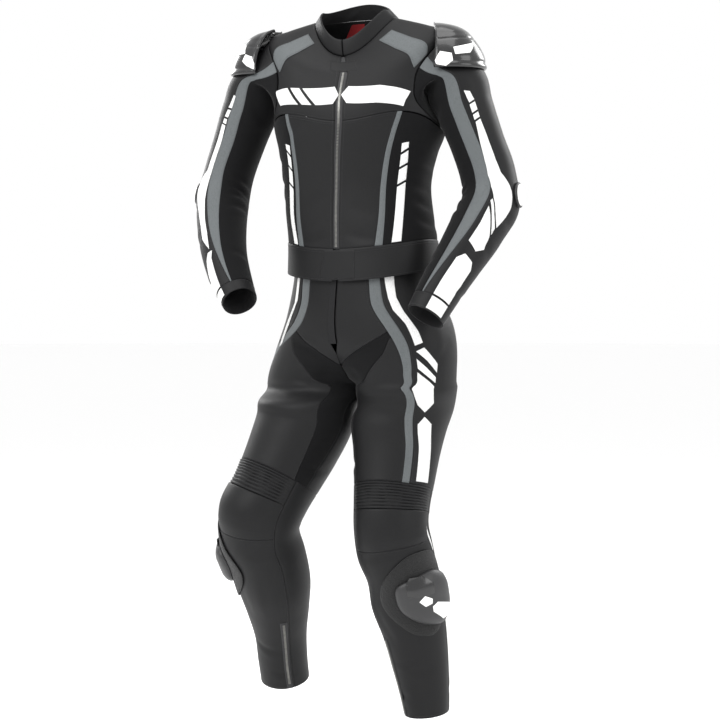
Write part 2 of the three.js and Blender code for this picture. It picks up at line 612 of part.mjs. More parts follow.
// The seams of each leg, in degrees. The fly and the inseam are at -90, the leg's front at 0,
// its outer side at 90 and the back seam at 270.
const LEG_SEAMS = {
  [LEFT]: [
    { at: 0, greyIn: -35, greyOut: -20, back: 150 },
    { at: 88, greyIn: -32, greyOut: -14, back: 150 },
    { at: 135, greyIn: -32, greyOut: -14, back: 150 },
    { at: 180, greyIn: -18, greyOut: 0, back: 150 },
    { at: 214, greyIn: -6, greyOut: 11, back: 150 },
    { at: 250, greyIn: 6, greyOut: 19, back: 150 },
    { at: 289, greyIn: 19, greyOut: 30, back: 154 },
    { at: 307, greyIn: 29, greyOut: 39, back: 156 },
    { at: 366, greyIn: 30, greyOut: 40, back: 160 },
    { at: 505, greyIn: 21, greyOut: 32, back: 165 },
  ],
  [RIGHT]: [
    { at: 0, greyIn: -42, greyOut: -24, back: 150 },
    { at: 88, greyIn: -40, greyOut: -21, back: 150 },
    { at: 135, greyIn: -42, greyOut: -25, back: 150 },
    { at: 175, greyIn: -32, greyOut: -12, back: 150 },
    { at: 200, greyIn: -14, greyOut: 8, back: 150 },
    { at: 225, greyIn: 16, greyOut: 38, back: 150 },
    { at: 262, greyIn: 44, greyOut: 58, back: 152 },
    { at: 366, greyIn: 56, greyOut: 68, back: 160 },
    { at: 505, greyIn: 56, greyOut: 68, back: 165 },
  ],
};
const STRETCH_SEAM = [
  { at: 235, angle: -22 },
  { at: 262, angle: -34 },
  { at: 290, angle: -41 },
  { at: 370, angle: -52 },
  { at: 505, angle: -66 },
];
const ABDOMEN_FOOT = 258;
const GROIN_TOP = 189;
const THIGH_TOP = 200;
const PLEATS_TOP = 505;
const PLEATS_FOOT = 551;
const CUP_FOOT = 612;
const KNEE_IN = degrees(-70);
const KNEE_OUT = degrees(84);
const FLY_HALF = degrees(5);
const PLEAT_COUNT = 9;
const PLEAT_RISE = 2.2;

// The accordion's ribs stand off the skin and die away at the band's side seams.
const pleatRelief = (share, along) => {
  const fade = ease(clamp(Math.min(share, 1 - share) * 8, 0, 1));
  return fade * PLEAT_RISE * Math.abs(Math.sin(along * Math.PI * PLEAT_COUNT));
};

for (const side of [LEFT, RIGHT]) {
  const hand = sideName(side);
  const hem = LEG[side].at(-1).at;
  const common = { surface: legs[side], facing: legFacing(side) };
  const cut = (name, material, edges) => wallPanel(`${name}_${hand}`, material, { ...common, ...edges });
  const greyIn = seam(LEG_SEAMS[side], "greyIn");
  const greyOut = seam(LEG_SEAMS[side], "greyOut");
  const back = seam(LEG_SEAMS[side], "back");
  // The abdomen's seam runs down to the fly's foot and the thigh's seam down the inner thigh.
  const abdomenSeam = (at) => {
    const share = clamp((at - GROIN_TOP) / (ABDOMEN_FOOT - GROIN_TOP), 0, 1);
    return mix(greyIn(GROIN_TOP) - degrees(3), degrees(-87), share);
  };
  const innerSeam = seam(STRETCH_SEAM, "angle");
  const thighSeam = (at) => {
    const share = clamp((at - THIGH_TOP) / 35, 0, 1);
    return mix(greyIn(THIGH_TOP) - degrees(3), innerSeam(at), share);
  };
  const rows = [0, 88, 135, 174, GROIN_TOP, THIGH_TOP, 214, 236, ABDOMEN_FOOT];
  const lowRows = [280, 293, 300, 318, 350, 382, 434, PLEATS_TOP];
  const below = (at) => [...rows, ...lowRows].filter((row) => row >= at);
  const shinRows = [CUP_FOOT, 650, 700, 742, 790, 840, 900, hem];
  cut("abdomen", leather, {
    from: (at) => -QUARTER + (at < 236 ? FLY_HALF : 0),
    to: (at) => (at < GROIN_TOP ? greyIn(at) : abdomenSeam(at)),
    rows,
    columns: 5,
  });
  cut("groin", stretch, {
    from: (at) => (at <= ABDOMEN_FOOT ? abdomenSeam(at) : -QUARTER),
    to: (at) => (at < THIGH_TOP ? greyIn(at) : thighSeam(at)),
    rows: below(GROIN_TOP),
    columns: 4,
  });
  cut("thigh", leather, { from: thighSeam, to: greyIn, rows: below(THIGH_TOP), columns: 6 });
  cut("thigh_grey", greyLeather, { from: greyIn, to: greyOut, rows: below(0), columns: 1 });
  cut("thigh_outer", leather, { from: greyOut, to: back, rows: below(0), columns: 6 });
  cut("seat", leather, { from: back, to: constant(TURN - QUARTER), rows: below(0), columns: 5 });
  cut("knee_pleats", leather, {
    from: constant(KNEE_IN),
    to: constant(KNEE_OUT),
    rows: steps(PLEATS_TOP, PLEATS_FOOT, 2 * PLEAT_COUNT),
    columns: 8,
    relief: pleatRelief,
  });
  cut("knee_cup", leather, {
    from: constant(KNEE_IN),
    to: constant(KNEE_OUT),
    rows: steps(PLEATS_FOOT, CUP_FOOT, 4),
    columns: 9,
  });
  cut("shin", leather, { from: constant(KNEE_IN), to: constant(KNEE_OUT), rows: shinRows, columns: 9 });
  cut("calf", leather, {
    from: constant(KNEE_OUT),
    to: constant(KNEE_IN + TURN),
    rows: [PLEATS_TOP, PLEATS_FOOT, 580, ...shinRows],
    columns: 9,
  });
}

// Fastenings and fittings

const ZIP_WALL = 1.6;
wallPanel("front_zip", zipTape, {
  surface: torso,
  facing: TORSO_FACING,
  rows: [...torsoLow, ...torsoHigh.slice(1, -1), NECK_SEAM - 3],
  from: constant(-ZIP_HALF),
  to: constant(ZIP_HALF),
  columns: 2,
  wall: ZIP_WALL,
  out: -0.4,
});
const onTorso = { surface: torso, facing: TORSO_FACING, out: LAY_GAP, wall: 1.6 };
layPiece("neck_flap", leather, {
  ...onTorso,
  spot: (u, v) => ({ angle: degrees(mix(-1, 1, u) * mix(8.8, 12.5, v)), at: mix(428, 487, v) }),
  columns: 6,
  rows: 5,
});
layPiece("hem_tab", leather, {
  ...onTorso,
  out: LAY_GAP + 1,
  spot: (u, v) => ({ angle: degrees(mix(mix(-14, -10, v), 15.5, u)), at: mix(3, 61, v) }),
  columns: 6,
  rows: 2,
});
for (const side of [LEFT, RIGHT]) {
  const near = side === LEFT ? 0.8 : -0.8;
  const edge = (v) => mix(42, 47, v) - 4 * Math.sin(Math.PI * v);
  layPiece(`chest_white_${sideName(side)}`, whiteLeather, {
    ...onTorso,
    wall: 1.2,
    spot: (u, v) => {
      const span = side === LEFT ? u : 1 - u;
      const tip = 4 * Math.abs(2 * v - 1);
      const angle = degrees(mix(1 + tip, edge(v), span));
      return { angle: near > 0 ? angle : -angle, at: mix(mix(339, 380, v), mix(312, 342, v), span) };
    },
    columns: 8,
    rows: 4,
  });
}
layPiece("neck_label", labelCloth, {
  ...onTorso,
  out: -WALL - 2.8,
  wall: 1,
  spot: (u, v) => ({ angle: degrees(mix(190, 207, u)), at: mix(466, 517, v) }),
  columns: 2,
  rows: 4,
});

// Shoulder cap: a shell over the point of the shoulder, open towards the neck.
const CAP = [
  { at: 0, x: 184, y: 4, z: -68, wide: 72, fore: 70, aft: 80 },
  { at: 24, x: 184, y: 4, z: -44, wide: 70, fore: 67, aft: 77 },
  { at: 52, x: 181, y: 4, z: -17, wide: 59, fore: 57, aft: 64 },
  { at: 76, x: 175, y: 5, z: 4, wide: 46, fore: 45, aft: 51 },
  { at: 92, x: 168, y: 5, z: 16, wide: 31, fore: 32, aft: 36 },
  { at: 104, x: 160, y: 5, z: 22, wide: 14, fore: 18, aft: 20 },
];
const CAP_SHIFT = { [LEFT]: -2.8, [RIGHT]: -24.2 };
for (const side of [LEFT, RIGHT]) {
  const ring = (row) => ({
    at: row.at,
    point: (angle) => {
      const { out, back } = oval(angle, row.wide, row.fore, row.aft, 2.1);
      return { x: side * (row.x + out) + CAP_SHIFT[side], y: row.y + back, z: row.z };
    },
  });
  wallPanel(`shoulder_cap_${sideName(side)}`, glossShell, {
    surface: skin(CAP.map(ring)),
    facing: side,
    from: constant(degrees(-4)),
    to: constant(degrees(178)),
    rows: [0, 16, 36, 56, 76, 92, 104],
    columns: 14,
    wall: 3,
  });
}

// Elbow disc
for (const side of [LEFT, RIGHT]) {
  const middle = { angle: degrees(97), at: 297 };
  layDisc(`elbow_slider_${sideName(side)}`, whiteShell, {
    surface: sleeves[side],
    facing: armFacing(side),
    middle,
    rim: (share) => ({
      angle: middle.angle + degrees(20) * Math.cos(TURN * share),
      at: middle.at + 19 * Math.sin(TURN * share),
    }),
    height: (share) => mix(9, 4, share ** 3),
    out: LAY_GAP,
    around: 12,
    rings: 2,
  });
}

// Knee slider: a hook-and-loop patch with the puck on it.
const PATCH = [
  { angle: 60, at: 0 },
  { angle: 54, at: 30 },
  { angle: 40, at: 58 },
  { angle: 14, at: 86 },
  { angle: -12, at: 82 },
  { angle: -32, at: 66 },
  { angle: -56, at: 26 },
  { angle: -66, at: -8 },
  { angle: -58, at: -40 },
  { angle: -30, at: -72 },
  { angle: 0, at: -88 },
  { angle: 36, at: -80 },
  { angle: 52, at: -46 },
];
const PUCK = [
  { angle: 48, at: 0 },
  { angle: 44, at: 34 },
  { angle: 22, at: 58 },
  { angle: -2, at: 54 },
  { angle: -26, at: 36 },
  { angle: -44, at: 6 },
  { angle: -48, at: -30 },
  { angle: -40, at: -46 },
  { angle: -18, at: -52 },
  { angle: 10, at: -56 },
  { angle: 34, at: -42 },
  { angle: 46, at: -22 },
];
const PATCH_WALL = 2.4;
const PATCH_OUT = 1.9;
const SLIDER = {
  [LEFT]: { patch: { angle: 31, at: 714 }, puck: { angle: 41, at: 722 } },
  [RIGHT]: { patch: { angle: 62, at: 686 }, puck: { angle: 72, at: 690 } },
};
for (const side of [LEFT, RIGHT]) {
  const disc = (name, material, outline, middle, shape) =>
    layDisc(`${name}_${sideName(side)}`, material, {
      surface: legs[side],
      facing: legFacing(side),
      middle: { angle: degrees(middle.angle), at: middle.at },
      rim: (share) => {
        const place = share * outline.length;
        const row = outline[Math.floor(place) % outline.length];
        const next = outline[(Math.floor(place) + 1) % outline.length];
        const part = place - Math.floor(place);
        return {
          angle: degrees(middle.angle + mix(row.angle, next.angle, part)),
          at: middle.at + mix(row.at, next.at, part),
        };
      },
      around: 2 * outline.length,
      ...shape,
    });
  const height = (share) => mix(20, 5, share ** 4);
  disc("slider_patch", velcro, PATCH, SLIDER[side].patch, { height: () => PATCH_WALL, out: PATCH_OUT, rings: 4 });
  disc("knee_slider", sliderPlastic, PUCK, SLIDER[side].puck, {
    height,
    out: PATCH_OUT + PATCH_WALL + 1.2,
    rings: 3,
  });
}

// Fly zip, on the pelvis's middle line: half of it lies on each leg's skin.
const flyRows = [0, 88, 135, 174, GROIN_TOP, THIGH_TOP, 214];
const flySkin = (angle, at) => (angle > 0 ? legs[LEFT](-QUARTER + angle, at) : legs[RIGHT](-QUARTER - angle, at));
wallPanel("fly_zip", zipTape, {
  surface: flySkin,
  facing: 1,
  rows: flyRows,
  from: constant(-FLY_HALF),
  to: constant(FLY_HALF),
  columns: 2,
  wall: ZIP_WALL,
  out: -0.4,
});

// Calf zips, closed, down to the hems
for (const side of [LEFT, RIGHT]) {
  const hem = LEG[side].at(-1).at;
  layPiece(`calf_zip_${sideName(side)}`, zipTape, {
    surface: legs[side],
    facing: legFacing(side),
    spot: (u, v) => ({ angle: degrees(mix(-52, -66, side === LEFT ? 1 - u : 1 - u)), at: mix(800, hem - 2, v) }),
    columns: 2,
    rows: 9,
    out: 1.6,
    wall: 1.6,
  });
}

// Connecting band inside the jacket's hem: its top lies on the trousers' waist and its foot on
// the inside of the jacket's hem band, where the two halves of the suit are zipped together.
const waistPoint = (angle) => {
  const side = Math.sin(angle) < 0 ? RIGHT : LEFT;
  const half = Math.acos(clamp(Math.cos(angle), -1, 1));
  return legs[side](2 * half - QUARTER, 18);
};
const CONNECTING_FOOT = 46;
const connecting = skin([
  { at: 0, point: (angle) => torso(angle, CONNECTING_FOOT) },
  { at: 30, point: waistPoint },
]);
wallPanel("connecting_band", zipTape, {
  surface: connecting,
  facing: TORSO_FACING,
  rows: [0, 30],
  from: constant(0),
  to: constant(TURN),
  columns: 28,
  closed: true,
  wall: 1.2,
  out: (share) => mix(-5.4, 5.5, share),
});

export default suit;
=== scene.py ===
# Two-piece motorcycle race suit: jacket over trousers, filled out as it is when worn.
# Tables and sizes are in millimetres and degrees. +X is the wearer's left, -Y the front, +Z up.
import math

import bpy
import numpy as np
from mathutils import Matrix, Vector, geometry


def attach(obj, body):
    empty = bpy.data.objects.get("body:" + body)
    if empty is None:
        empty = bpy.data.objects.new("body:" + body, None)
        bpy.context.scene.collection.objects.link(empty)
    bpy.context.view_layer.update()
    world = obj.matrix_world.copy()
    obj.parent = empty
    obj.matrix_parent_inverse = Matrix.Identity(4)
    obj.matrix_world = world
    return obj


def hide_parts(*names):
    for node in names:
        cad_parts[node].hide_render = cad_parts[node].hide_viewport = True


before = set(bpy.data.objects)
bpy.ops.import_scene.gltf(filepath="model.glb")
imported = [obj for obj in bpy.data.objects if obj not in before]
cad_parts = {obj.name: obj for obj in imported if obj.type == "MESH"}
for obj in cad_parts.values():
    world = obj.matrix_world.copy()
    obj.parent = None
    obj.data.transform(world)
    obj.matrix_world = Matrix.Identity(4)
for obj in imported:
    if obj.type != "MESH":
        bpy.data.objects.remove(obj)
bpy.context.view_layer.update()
MM = 0.001

# The studio: a pale seamless floor under the hems, a pale surround, soft boxes on both sides and
# above, and the camera a little to the wearer's left and a little above the waist.
view_azimuth = math.radians(22)
view_elevation = math.radians(2)
CAMERA_DISTANCE = 4.5
camera_back = Vector(
    (
        math.sin(view_azimuth) * math.cos(view_elevation),
        -math.cos(view_azimuth) * math.cos(view_elevation),
        math.sin(view_elevation),
    )
)
camera_aim = Vector((-4 * MM * math.cos(view_azimuth), -4 * MM * math.sin(view_azimuth), -640 * MM))
camera_data = bpy.data.cameras.new("camera")
camera_data.lens = 112.5
camera_data.sensor_width = 36
camera = bpy.data.objects.new("camera", camera_data)
camera.location = camera_aim + camera_back * CAMERA_DISTANCE
camera.rotation_mode = "QUATERNION"
camera.rotation_quaternion = (-camera_back).to_track_quat("-Z", "Y")
bpy.context.scene.collection.objects.link(camera)
bpy.context.scene.camera = camera
bpy.context.scene.view_settings.view_transform = "Standard"


def linear(sheet_hex):
    """An sRGB hex colour, such as "2d2d2d", as linear red, green, blue and alpha."""
    parts = [int(sheet_hex[i : i + 2], 16) / 255 for i in (0, 2, 4)]
    return tuple(p / 12.92 if p <= 0.04045 else ((p + 0.055) / 1.055) ** 2.4 for p in parts) + (1.0,)


def add(tree, kind, sockets=(), **settings):
    """Adds a node. sockets gives each input a value or the output that feeds it."""
    made = tree.nodes.new(kind)
    for name, value in settings.items():
        setattr(made, name, value)
    for key, value in dict(sockets).items():
        if isinstance(value, bpy.types.NodeSocket):
            tree.links.new(value, made.inputs[key])
        else:
            made.inputs[key].default_value = value
    return made


surround = bpy.data.worlds.new("pale_surround")
surround.use_nodes = True
surround.node_tree.nodes["Background"].inputs["Color"].default_value = (1, 1, 1, 1)
surround.node_tree.nodes["Background"].inputs["Strength"].default_value = 1.0
bpy.context.scene.world = surround

FLOOR = -1.43  # a foot's height under the lower hem
floor_mesh = bpy.data.meshes.new("studio_floor")
floor_edge = [(30 * math.cos(math.tau * i / 96), 30 * math.sin(math.tau * i / 96),
    FLOOR) for i in range(96)]
floor_mesh.from_pydata(floor_edge, [], [list(range(96))])
studio_floor = bpy.data.objects.new("studio_floor", floor_mesh)
bpy.context.scene.collection.objects.link(studio_floor)
paper = bpy.data.materials.new("studio_paper")
paper.use_nodes = True
paper_shader = paper.node_tree.nodes["Principled BSDF"]
paper_shader.inputs["Roughness"].default_value = 0.9
paper_mottle = add(paper.node_tree, "ShaderNodeTexNoise", {"Scale": 3.0, "Detail": 2.0})
paper_colour = add(
    paper.node_tree,
    "ShaderNodeMix",
    {"Factor": paper_mottle.outputs["Fac"], "A": linear("fcfcfc"), "B": linear("fefefe")},
    data_type="RGBA",
)
paper.node_tree.links.new(paper_colour.outputs["Result"], paper_shader.inputs["Base Color"])
floor_mesh.materials.append(paper)

SOFT_BOXES = [
    dict(name="key", azimuth=-28, elevation=34, far=3.4, size=1.8, watts=62),
    dict(name="fill", azimuth=74, elevation=18, far=3.6, size=2.0, watts=34),
    dict(name="left_rim", azimuth=-118, elevation=22, far=3.2, size=1.4, watts=40),
    dict(name="right_rim", azimuth=150, elevation=28, far=3.2, size=1.4, watts=40),
    dict(name="top", azimuth=10, elevation=80, far=2.6, size=1.8, watts=26),
]
for box in SOFT_BOXES:
    turn = math.radians(box["azimuth"])
    lift = math.radians(box["elevation"])
    out = Vector((math.sin(turn) * math.cos(lift), -math.cos(turn) * math.cos(lift), math.sin(lift)))
    lamp_data = bpy.data.lights.new(box["name"], "AREA")
    lamp_data.size = box["size"]
    lamp_data.energy = box["watts"]
    lamp = bpy.data.objects.new(box["name"], lamp_data)
    lamp.location = Vector((0, 0, -0.6)) + out * box["far"]
    lamp.rotation_mode = "QUATERNION"
    lamp.rotation_quaternion = (-out).to_track_quat("-Z", "Y")
    bpy.context.scene.collection.objects.link(lamp)

# The jacket's body, front, sides and back: panels of black cowhide about 1.2 mm thick with a
# fixed lining, cut to the torso and sewn edge to edge. Each row of the table is one ring round it.
TORSO = [
    dict(at=0, front=-483, side=-462, back=-470, rise=0, wide=160, fore=110, aft=110, square=2.3,
        turn=-9, x=3, y=4),
    dict(at=64, front=-419, side=-400, back=-408, rise=0, wide=156, fore=105, aft=104, square=2.3,
        turn=-8, x=0, y=3),
    dict(at=120, front=-362, side=-348, back=-352, rise=0, wide=153, fore=103, aft=100, square=2.3,
        turn=-5, x=-6, y=2),
    dict(at=185, front=-296, side=-290, back=-288, rise=4, wide=151, fore=104, aft=102, square=2.3,
        turn=-1, x=-11, y=2),
    dict(at=250, front=-230, side=-230, back=-224, rise=12, wide=161, fore=110, aft=112, square=2.35,
        turn=0, x=-9, y=2),
    dict(at=302, front=-170, side=-180, back=-172, rise=22, wide=175, fore=115, aft=120, square=2.4,
        turn=1, x=-6, y=2),
    dict(at=342, front=-134, side=-112, back=-128, rise=8, wide=180, fore=112, aft=124, square=2.4,
        turn=2, x=-8, y=2),
    dict(at=382, front=-102, side=-42, back=-84, rise=0, wide=184, fore=103, aft=122, square=2.3,
        turn=2, x=-8, y=4),
    dict(at=422, front=-76, side=6, back=-42, rise=0, wide=188, fore=92, aft=114, square=2.2, turn=2,
        x=-8, y=6),
    dict(at=462, front=-60, side=21, back=-2, rise=0, wide=150, fore=80, aft=102, square=2.1, turn=0,
        x=-11, y=8),
    dict(at=496, front=-48, side=31, back=28, rise=0, wide=115, fore=70, aft=86, square=2, turn=-2,
        x=-14, y=10),
    dict(at=522, front=-38, side=38, back=46, rise=0, wide=88, fore=62, aft=70, square=2, turn=-4,
        x=-16, y=12),
]
QUARTER = math.pi / 2
TURN = math.tau
WALL = 2.4
SEAM_GAP = 0.3
HEM = 0
BAND_TOP = 64
ARMPIT = 302
SHOULDER_TIP = 422
NECK_SEAM = 522
SIDES = ("left", "right")


def side_sign(side):
    return 1 if side == "left" else -1


def through(stations, samples, at):
    """The smooth value at each station in at, through samples that lie at the given stations."""
    stations = np.asarray(stations, float)
    samples = np.asarray(samples, float)
    tail = (1,) * (samples.ndim - 1)
    span = np.diff(stations).reshape((-1,) + tail)
    rise = np.diff(samples, axis=0) / span
    slope = np.empty_like(samples)
    slope[0] = rise[0]
    slope[-1] = rise[-1]
    slope[1:-1] = (rise[:-1] * span[1:] + rise[1:] * span[:-1]) / (span[:-1] + span[1:])
    i = np.clip(np.searchsorted(stations, at, side="left") - 1, 0, len(stations) - 2)
    pick = (i, np.arange(len(i))) if samples.ndim > 1 else (i,)
    after = (i + 1,) + pick[1:]
    wide = np.diff(stations)[i]
    t = (at - stations[i]) / wide
    if samples.ndim > 1:
        t = t[:, None]
        wide = wide[:, None]
    t2 = t * t
    t3 = t2 * t
    start = samples[pick] * (2 * t3 - 3 * t2 + 1) + slope[pick] * wide * (t3 - 2 * t2 + t)
    return start + samples[after] * (3 * t2 - 2 * t3) + slope[after] * wide * (t3 - t2)


def column(rows, name):
    """A curve through one column of a table."""
    stations = [row["at"] for row in rows]
    samples = [row[name] for row in rows]
    return lambda at: through(stations, samples, np.clip(at, stations[0], stations[-1]))


def seam(rows, name):
    curve = column(rows, name)
    return lambda at: np.radians(curve(at))


def constant(value):
    return lambda at: np.full(np.shape(at), float(value))


def skin(rings):
    """A surface through rings. Each ring is its station and a function from angles to points."""
    stations = [at for at, _ in rings]

    def surface(angle, at):
        angle, at = np.broadcast_arrays(np.asarray(angle, float), np.asarray(at, float))
        flat = np.array([point(angle.ravel()) for _, point in rings])
        return through(stations, flat, at.ravel()).reshape(angle.shape + (3,))

    return surface


def oval(angle, wide, fore, aft, square):
    """A rounded oval: angle 0 is its front, a quarter turn its outer side."""
    s = np.sin(angle)
    c = np.cos(angle)
    reach = (np.abs(s) ** square + np.abs(c) ** square) ** (-1 / square)
    return wide * s * reach, -np.where(c > 0, fore, aft) * c * reach


def torso_ring(row):
    turn = math.radians(row["turn"])

    def point(angle):
        out, back = oval(angle, row["wide"], row["fore"], row["aft"], row["square"])
        c = np.cos(angle)
        end = np.where(c > 0, row["front"], row["back"])
        z = row["side"] + (end - row["side"]) * c * c
        z = z + np.sin(2 * angle) ** 2 * np.where(c > 0, row["rise"], 0)
        x = row["x"] + out * math.cos(turn) - back * math.sin(turn)
        y = row["y"] + out * math.sin(turn) + back * math.cos(turn)
        return np.stack([x, y, z], -1)

    return row["at"], point


torso = skin([torso_ring(row) for row in TORSO])


def unit(vectors):
    return vectors / np.linalg.norm(vectors, axis=-1, keepdims=True)


def outward(surface, angle, at, facing):
    """The surface's outward direction. facing is 1 where angle and station turn right-handed."""
    round_it = surface(angle + 0.01, at) - surface(angle - 0.01, at)
    up = surface(angle, at + 1) - surface(angle, at - 1)
    return unit(np.cross(round_it, up)) * facing


def creases(folds, radius, angle, at):
    """How far soft folds move the leather: a row is a line from one spot to another, with how
    deep the trough is (a ridge is below 0) and how wide. It dies away towards both ends."""
    moved = np.zeros(np.shape(angle))
    for fold in folds:
        spot = np.radians(fold["angle"])
        run = radius * np.radians(fold["to_angle"] - fold["angle"])
        fall = fold["to_at"] - fold["at"]
        across = radius * ((angle - spot + math.pi) % TURN - math.pi)
        down = at - fold["at"]
        long = math.hypot(run, fall)
        share = (across * run + down * fall) / long**2
        off = (across * fall - down * run) / long
        bow = off - fold.get("bow", 0) * 4 * share * (1 - share)
        fade = np.clip(np.sin(np.clip(share, 0, 1) * math.pi), 0, 1) ** 0.7
        trough = np.exp(-((bow / fold["wide"]) ** 2))
        beside = np.exp(-(((bow - 1.9 * fold["wide"]) / (1.2 * fold["wide"])) ** 2))
        trough = trough - 0.45 * beside
        moved -= fold["deep"] * fade * trough
    return moved


def crowd(length, step):
    """Shares along a length, close together at both ends, where the edge is turned in."""
    near = np.array([0, 0.7, 1.6, 2.8, 4.2])
    if length < 16:
        return np.linspace(0, 1, 5)
    middle = np.linspace(5.5, length - 5.5, max(2, int(round((length - 11) / step)) + 1))
    return np.concatenate([near, middle, length - near[::-1]]) / length


def turned_in(distance, deep=0.9, reach=3.0):
    """A sewn edge dips where its allowance is turned in."""
    return -deep * np.clip(1 - distance / reach, 0, 1) ** 2


def steps(low, high, step):
    return np.linspace(low, high, max(2, int(round(abs(high - low) / step)) + 1))


def inside_out(points, faces):
    """Whether the faces of a closed mesh look inwards: its volume is then below 0."""
    centred = points - points.mean(0)
    total = 0.0
    for k in range(1, faces.shape[1] - 1):
        a, b, c = centred[faces[:, 0]], centred[faces[:, k]], centred[faces[:, k + 1]]
        total += np.einsum("ij,ij->i", a, np.cross(b, c)).sum()
    return total < 0


def shell(name, outer, inner, closed, uv=None):
    """A closed mesh object between two grids of points, rows by columns."""
    rows, columns = outer.shape[:2]
    points = np.concatenate([outer.reshape(-1, 3), inner.reshape(-1, 3)])
    grid = np.arange(rows * columns).reshape(rows, columns)
    if closed:
        grid = np.concatenate([grid, grid[:, :1]], 1)
    a, b, c, d = grid[:-1, :-1], grid[:-1, 1:], grid[1:, 1:], grid[1:, :-1]
    below = rows * columns
    quads = [np.stack([a, b, c, d], -1), np.stack([a, d, c, b], -1) + below]
    low, high = grid[0], grid[-1]
    quads.append(np.stack([low[:-1], low[:-1] + below, low[1:] + below, low[1:]], -1))
    quads.append(np.stack([high[:-1], high[1:], high[1:] + below, high[:-1] + below], -1))
    if not closed:
        first, last = grid[:, 0], grid[:, -1]
        quads.append(np.stack([first[:-1], first[1:], first[1:] + below, first[:-1] + below], -1))
        quads.append(np.stack([last[:-1], last[:-1] + below, last[1:] + below, last[1:]], -1))
    faces = np.concatenate([q.reshape(-1, 4) for q in quads])
    if inside_out(points, faces):
        faces = faces[:, ::-1]
    return mesh_object(name, points, faces, None if uv is None else np.concatenate([uv, uv]))


def mesh_object(name, points, faces, uv=None):
    """Builds an object from points in millimetres. Its sharp edges stay sharp, the rest is smooth."""
    mesh = bpy.data.meshes.new(name)
    faces = faces.tolist() if isinstance(faces, np.ndarray) else faces
    mesh.from_pydata((np.asarray(points) * MM).tolist(), [], faces)
    if uv is not None:
        corners = np.zeros(len(mesh.loops), np.int32)
        mesh.loops.foreach_get("vertex_index", corners)
        layer = mesh.uv_layers.new(name="cut")
        layer.data.foreach_set("uv", (np.asarray(uv)[corners] * MM).astype(np.float32).ravel())
    mesh.shade_smooth()
    mesh.set_sharp_from_angle(angle=math.radians(48))
    made = bpy.data.objects.new(name, mesh)
    bpy.context.scene.collection.objects.link(made)
    return made


stitch_lines = {"jacket": [], "sleeves": [], "trousers": [], "white": []}


def sew(group, points, normals):
    """Keeps a line of topstitching, to be sewn at the end."""
    stitch_lines[group].append((points, normals))


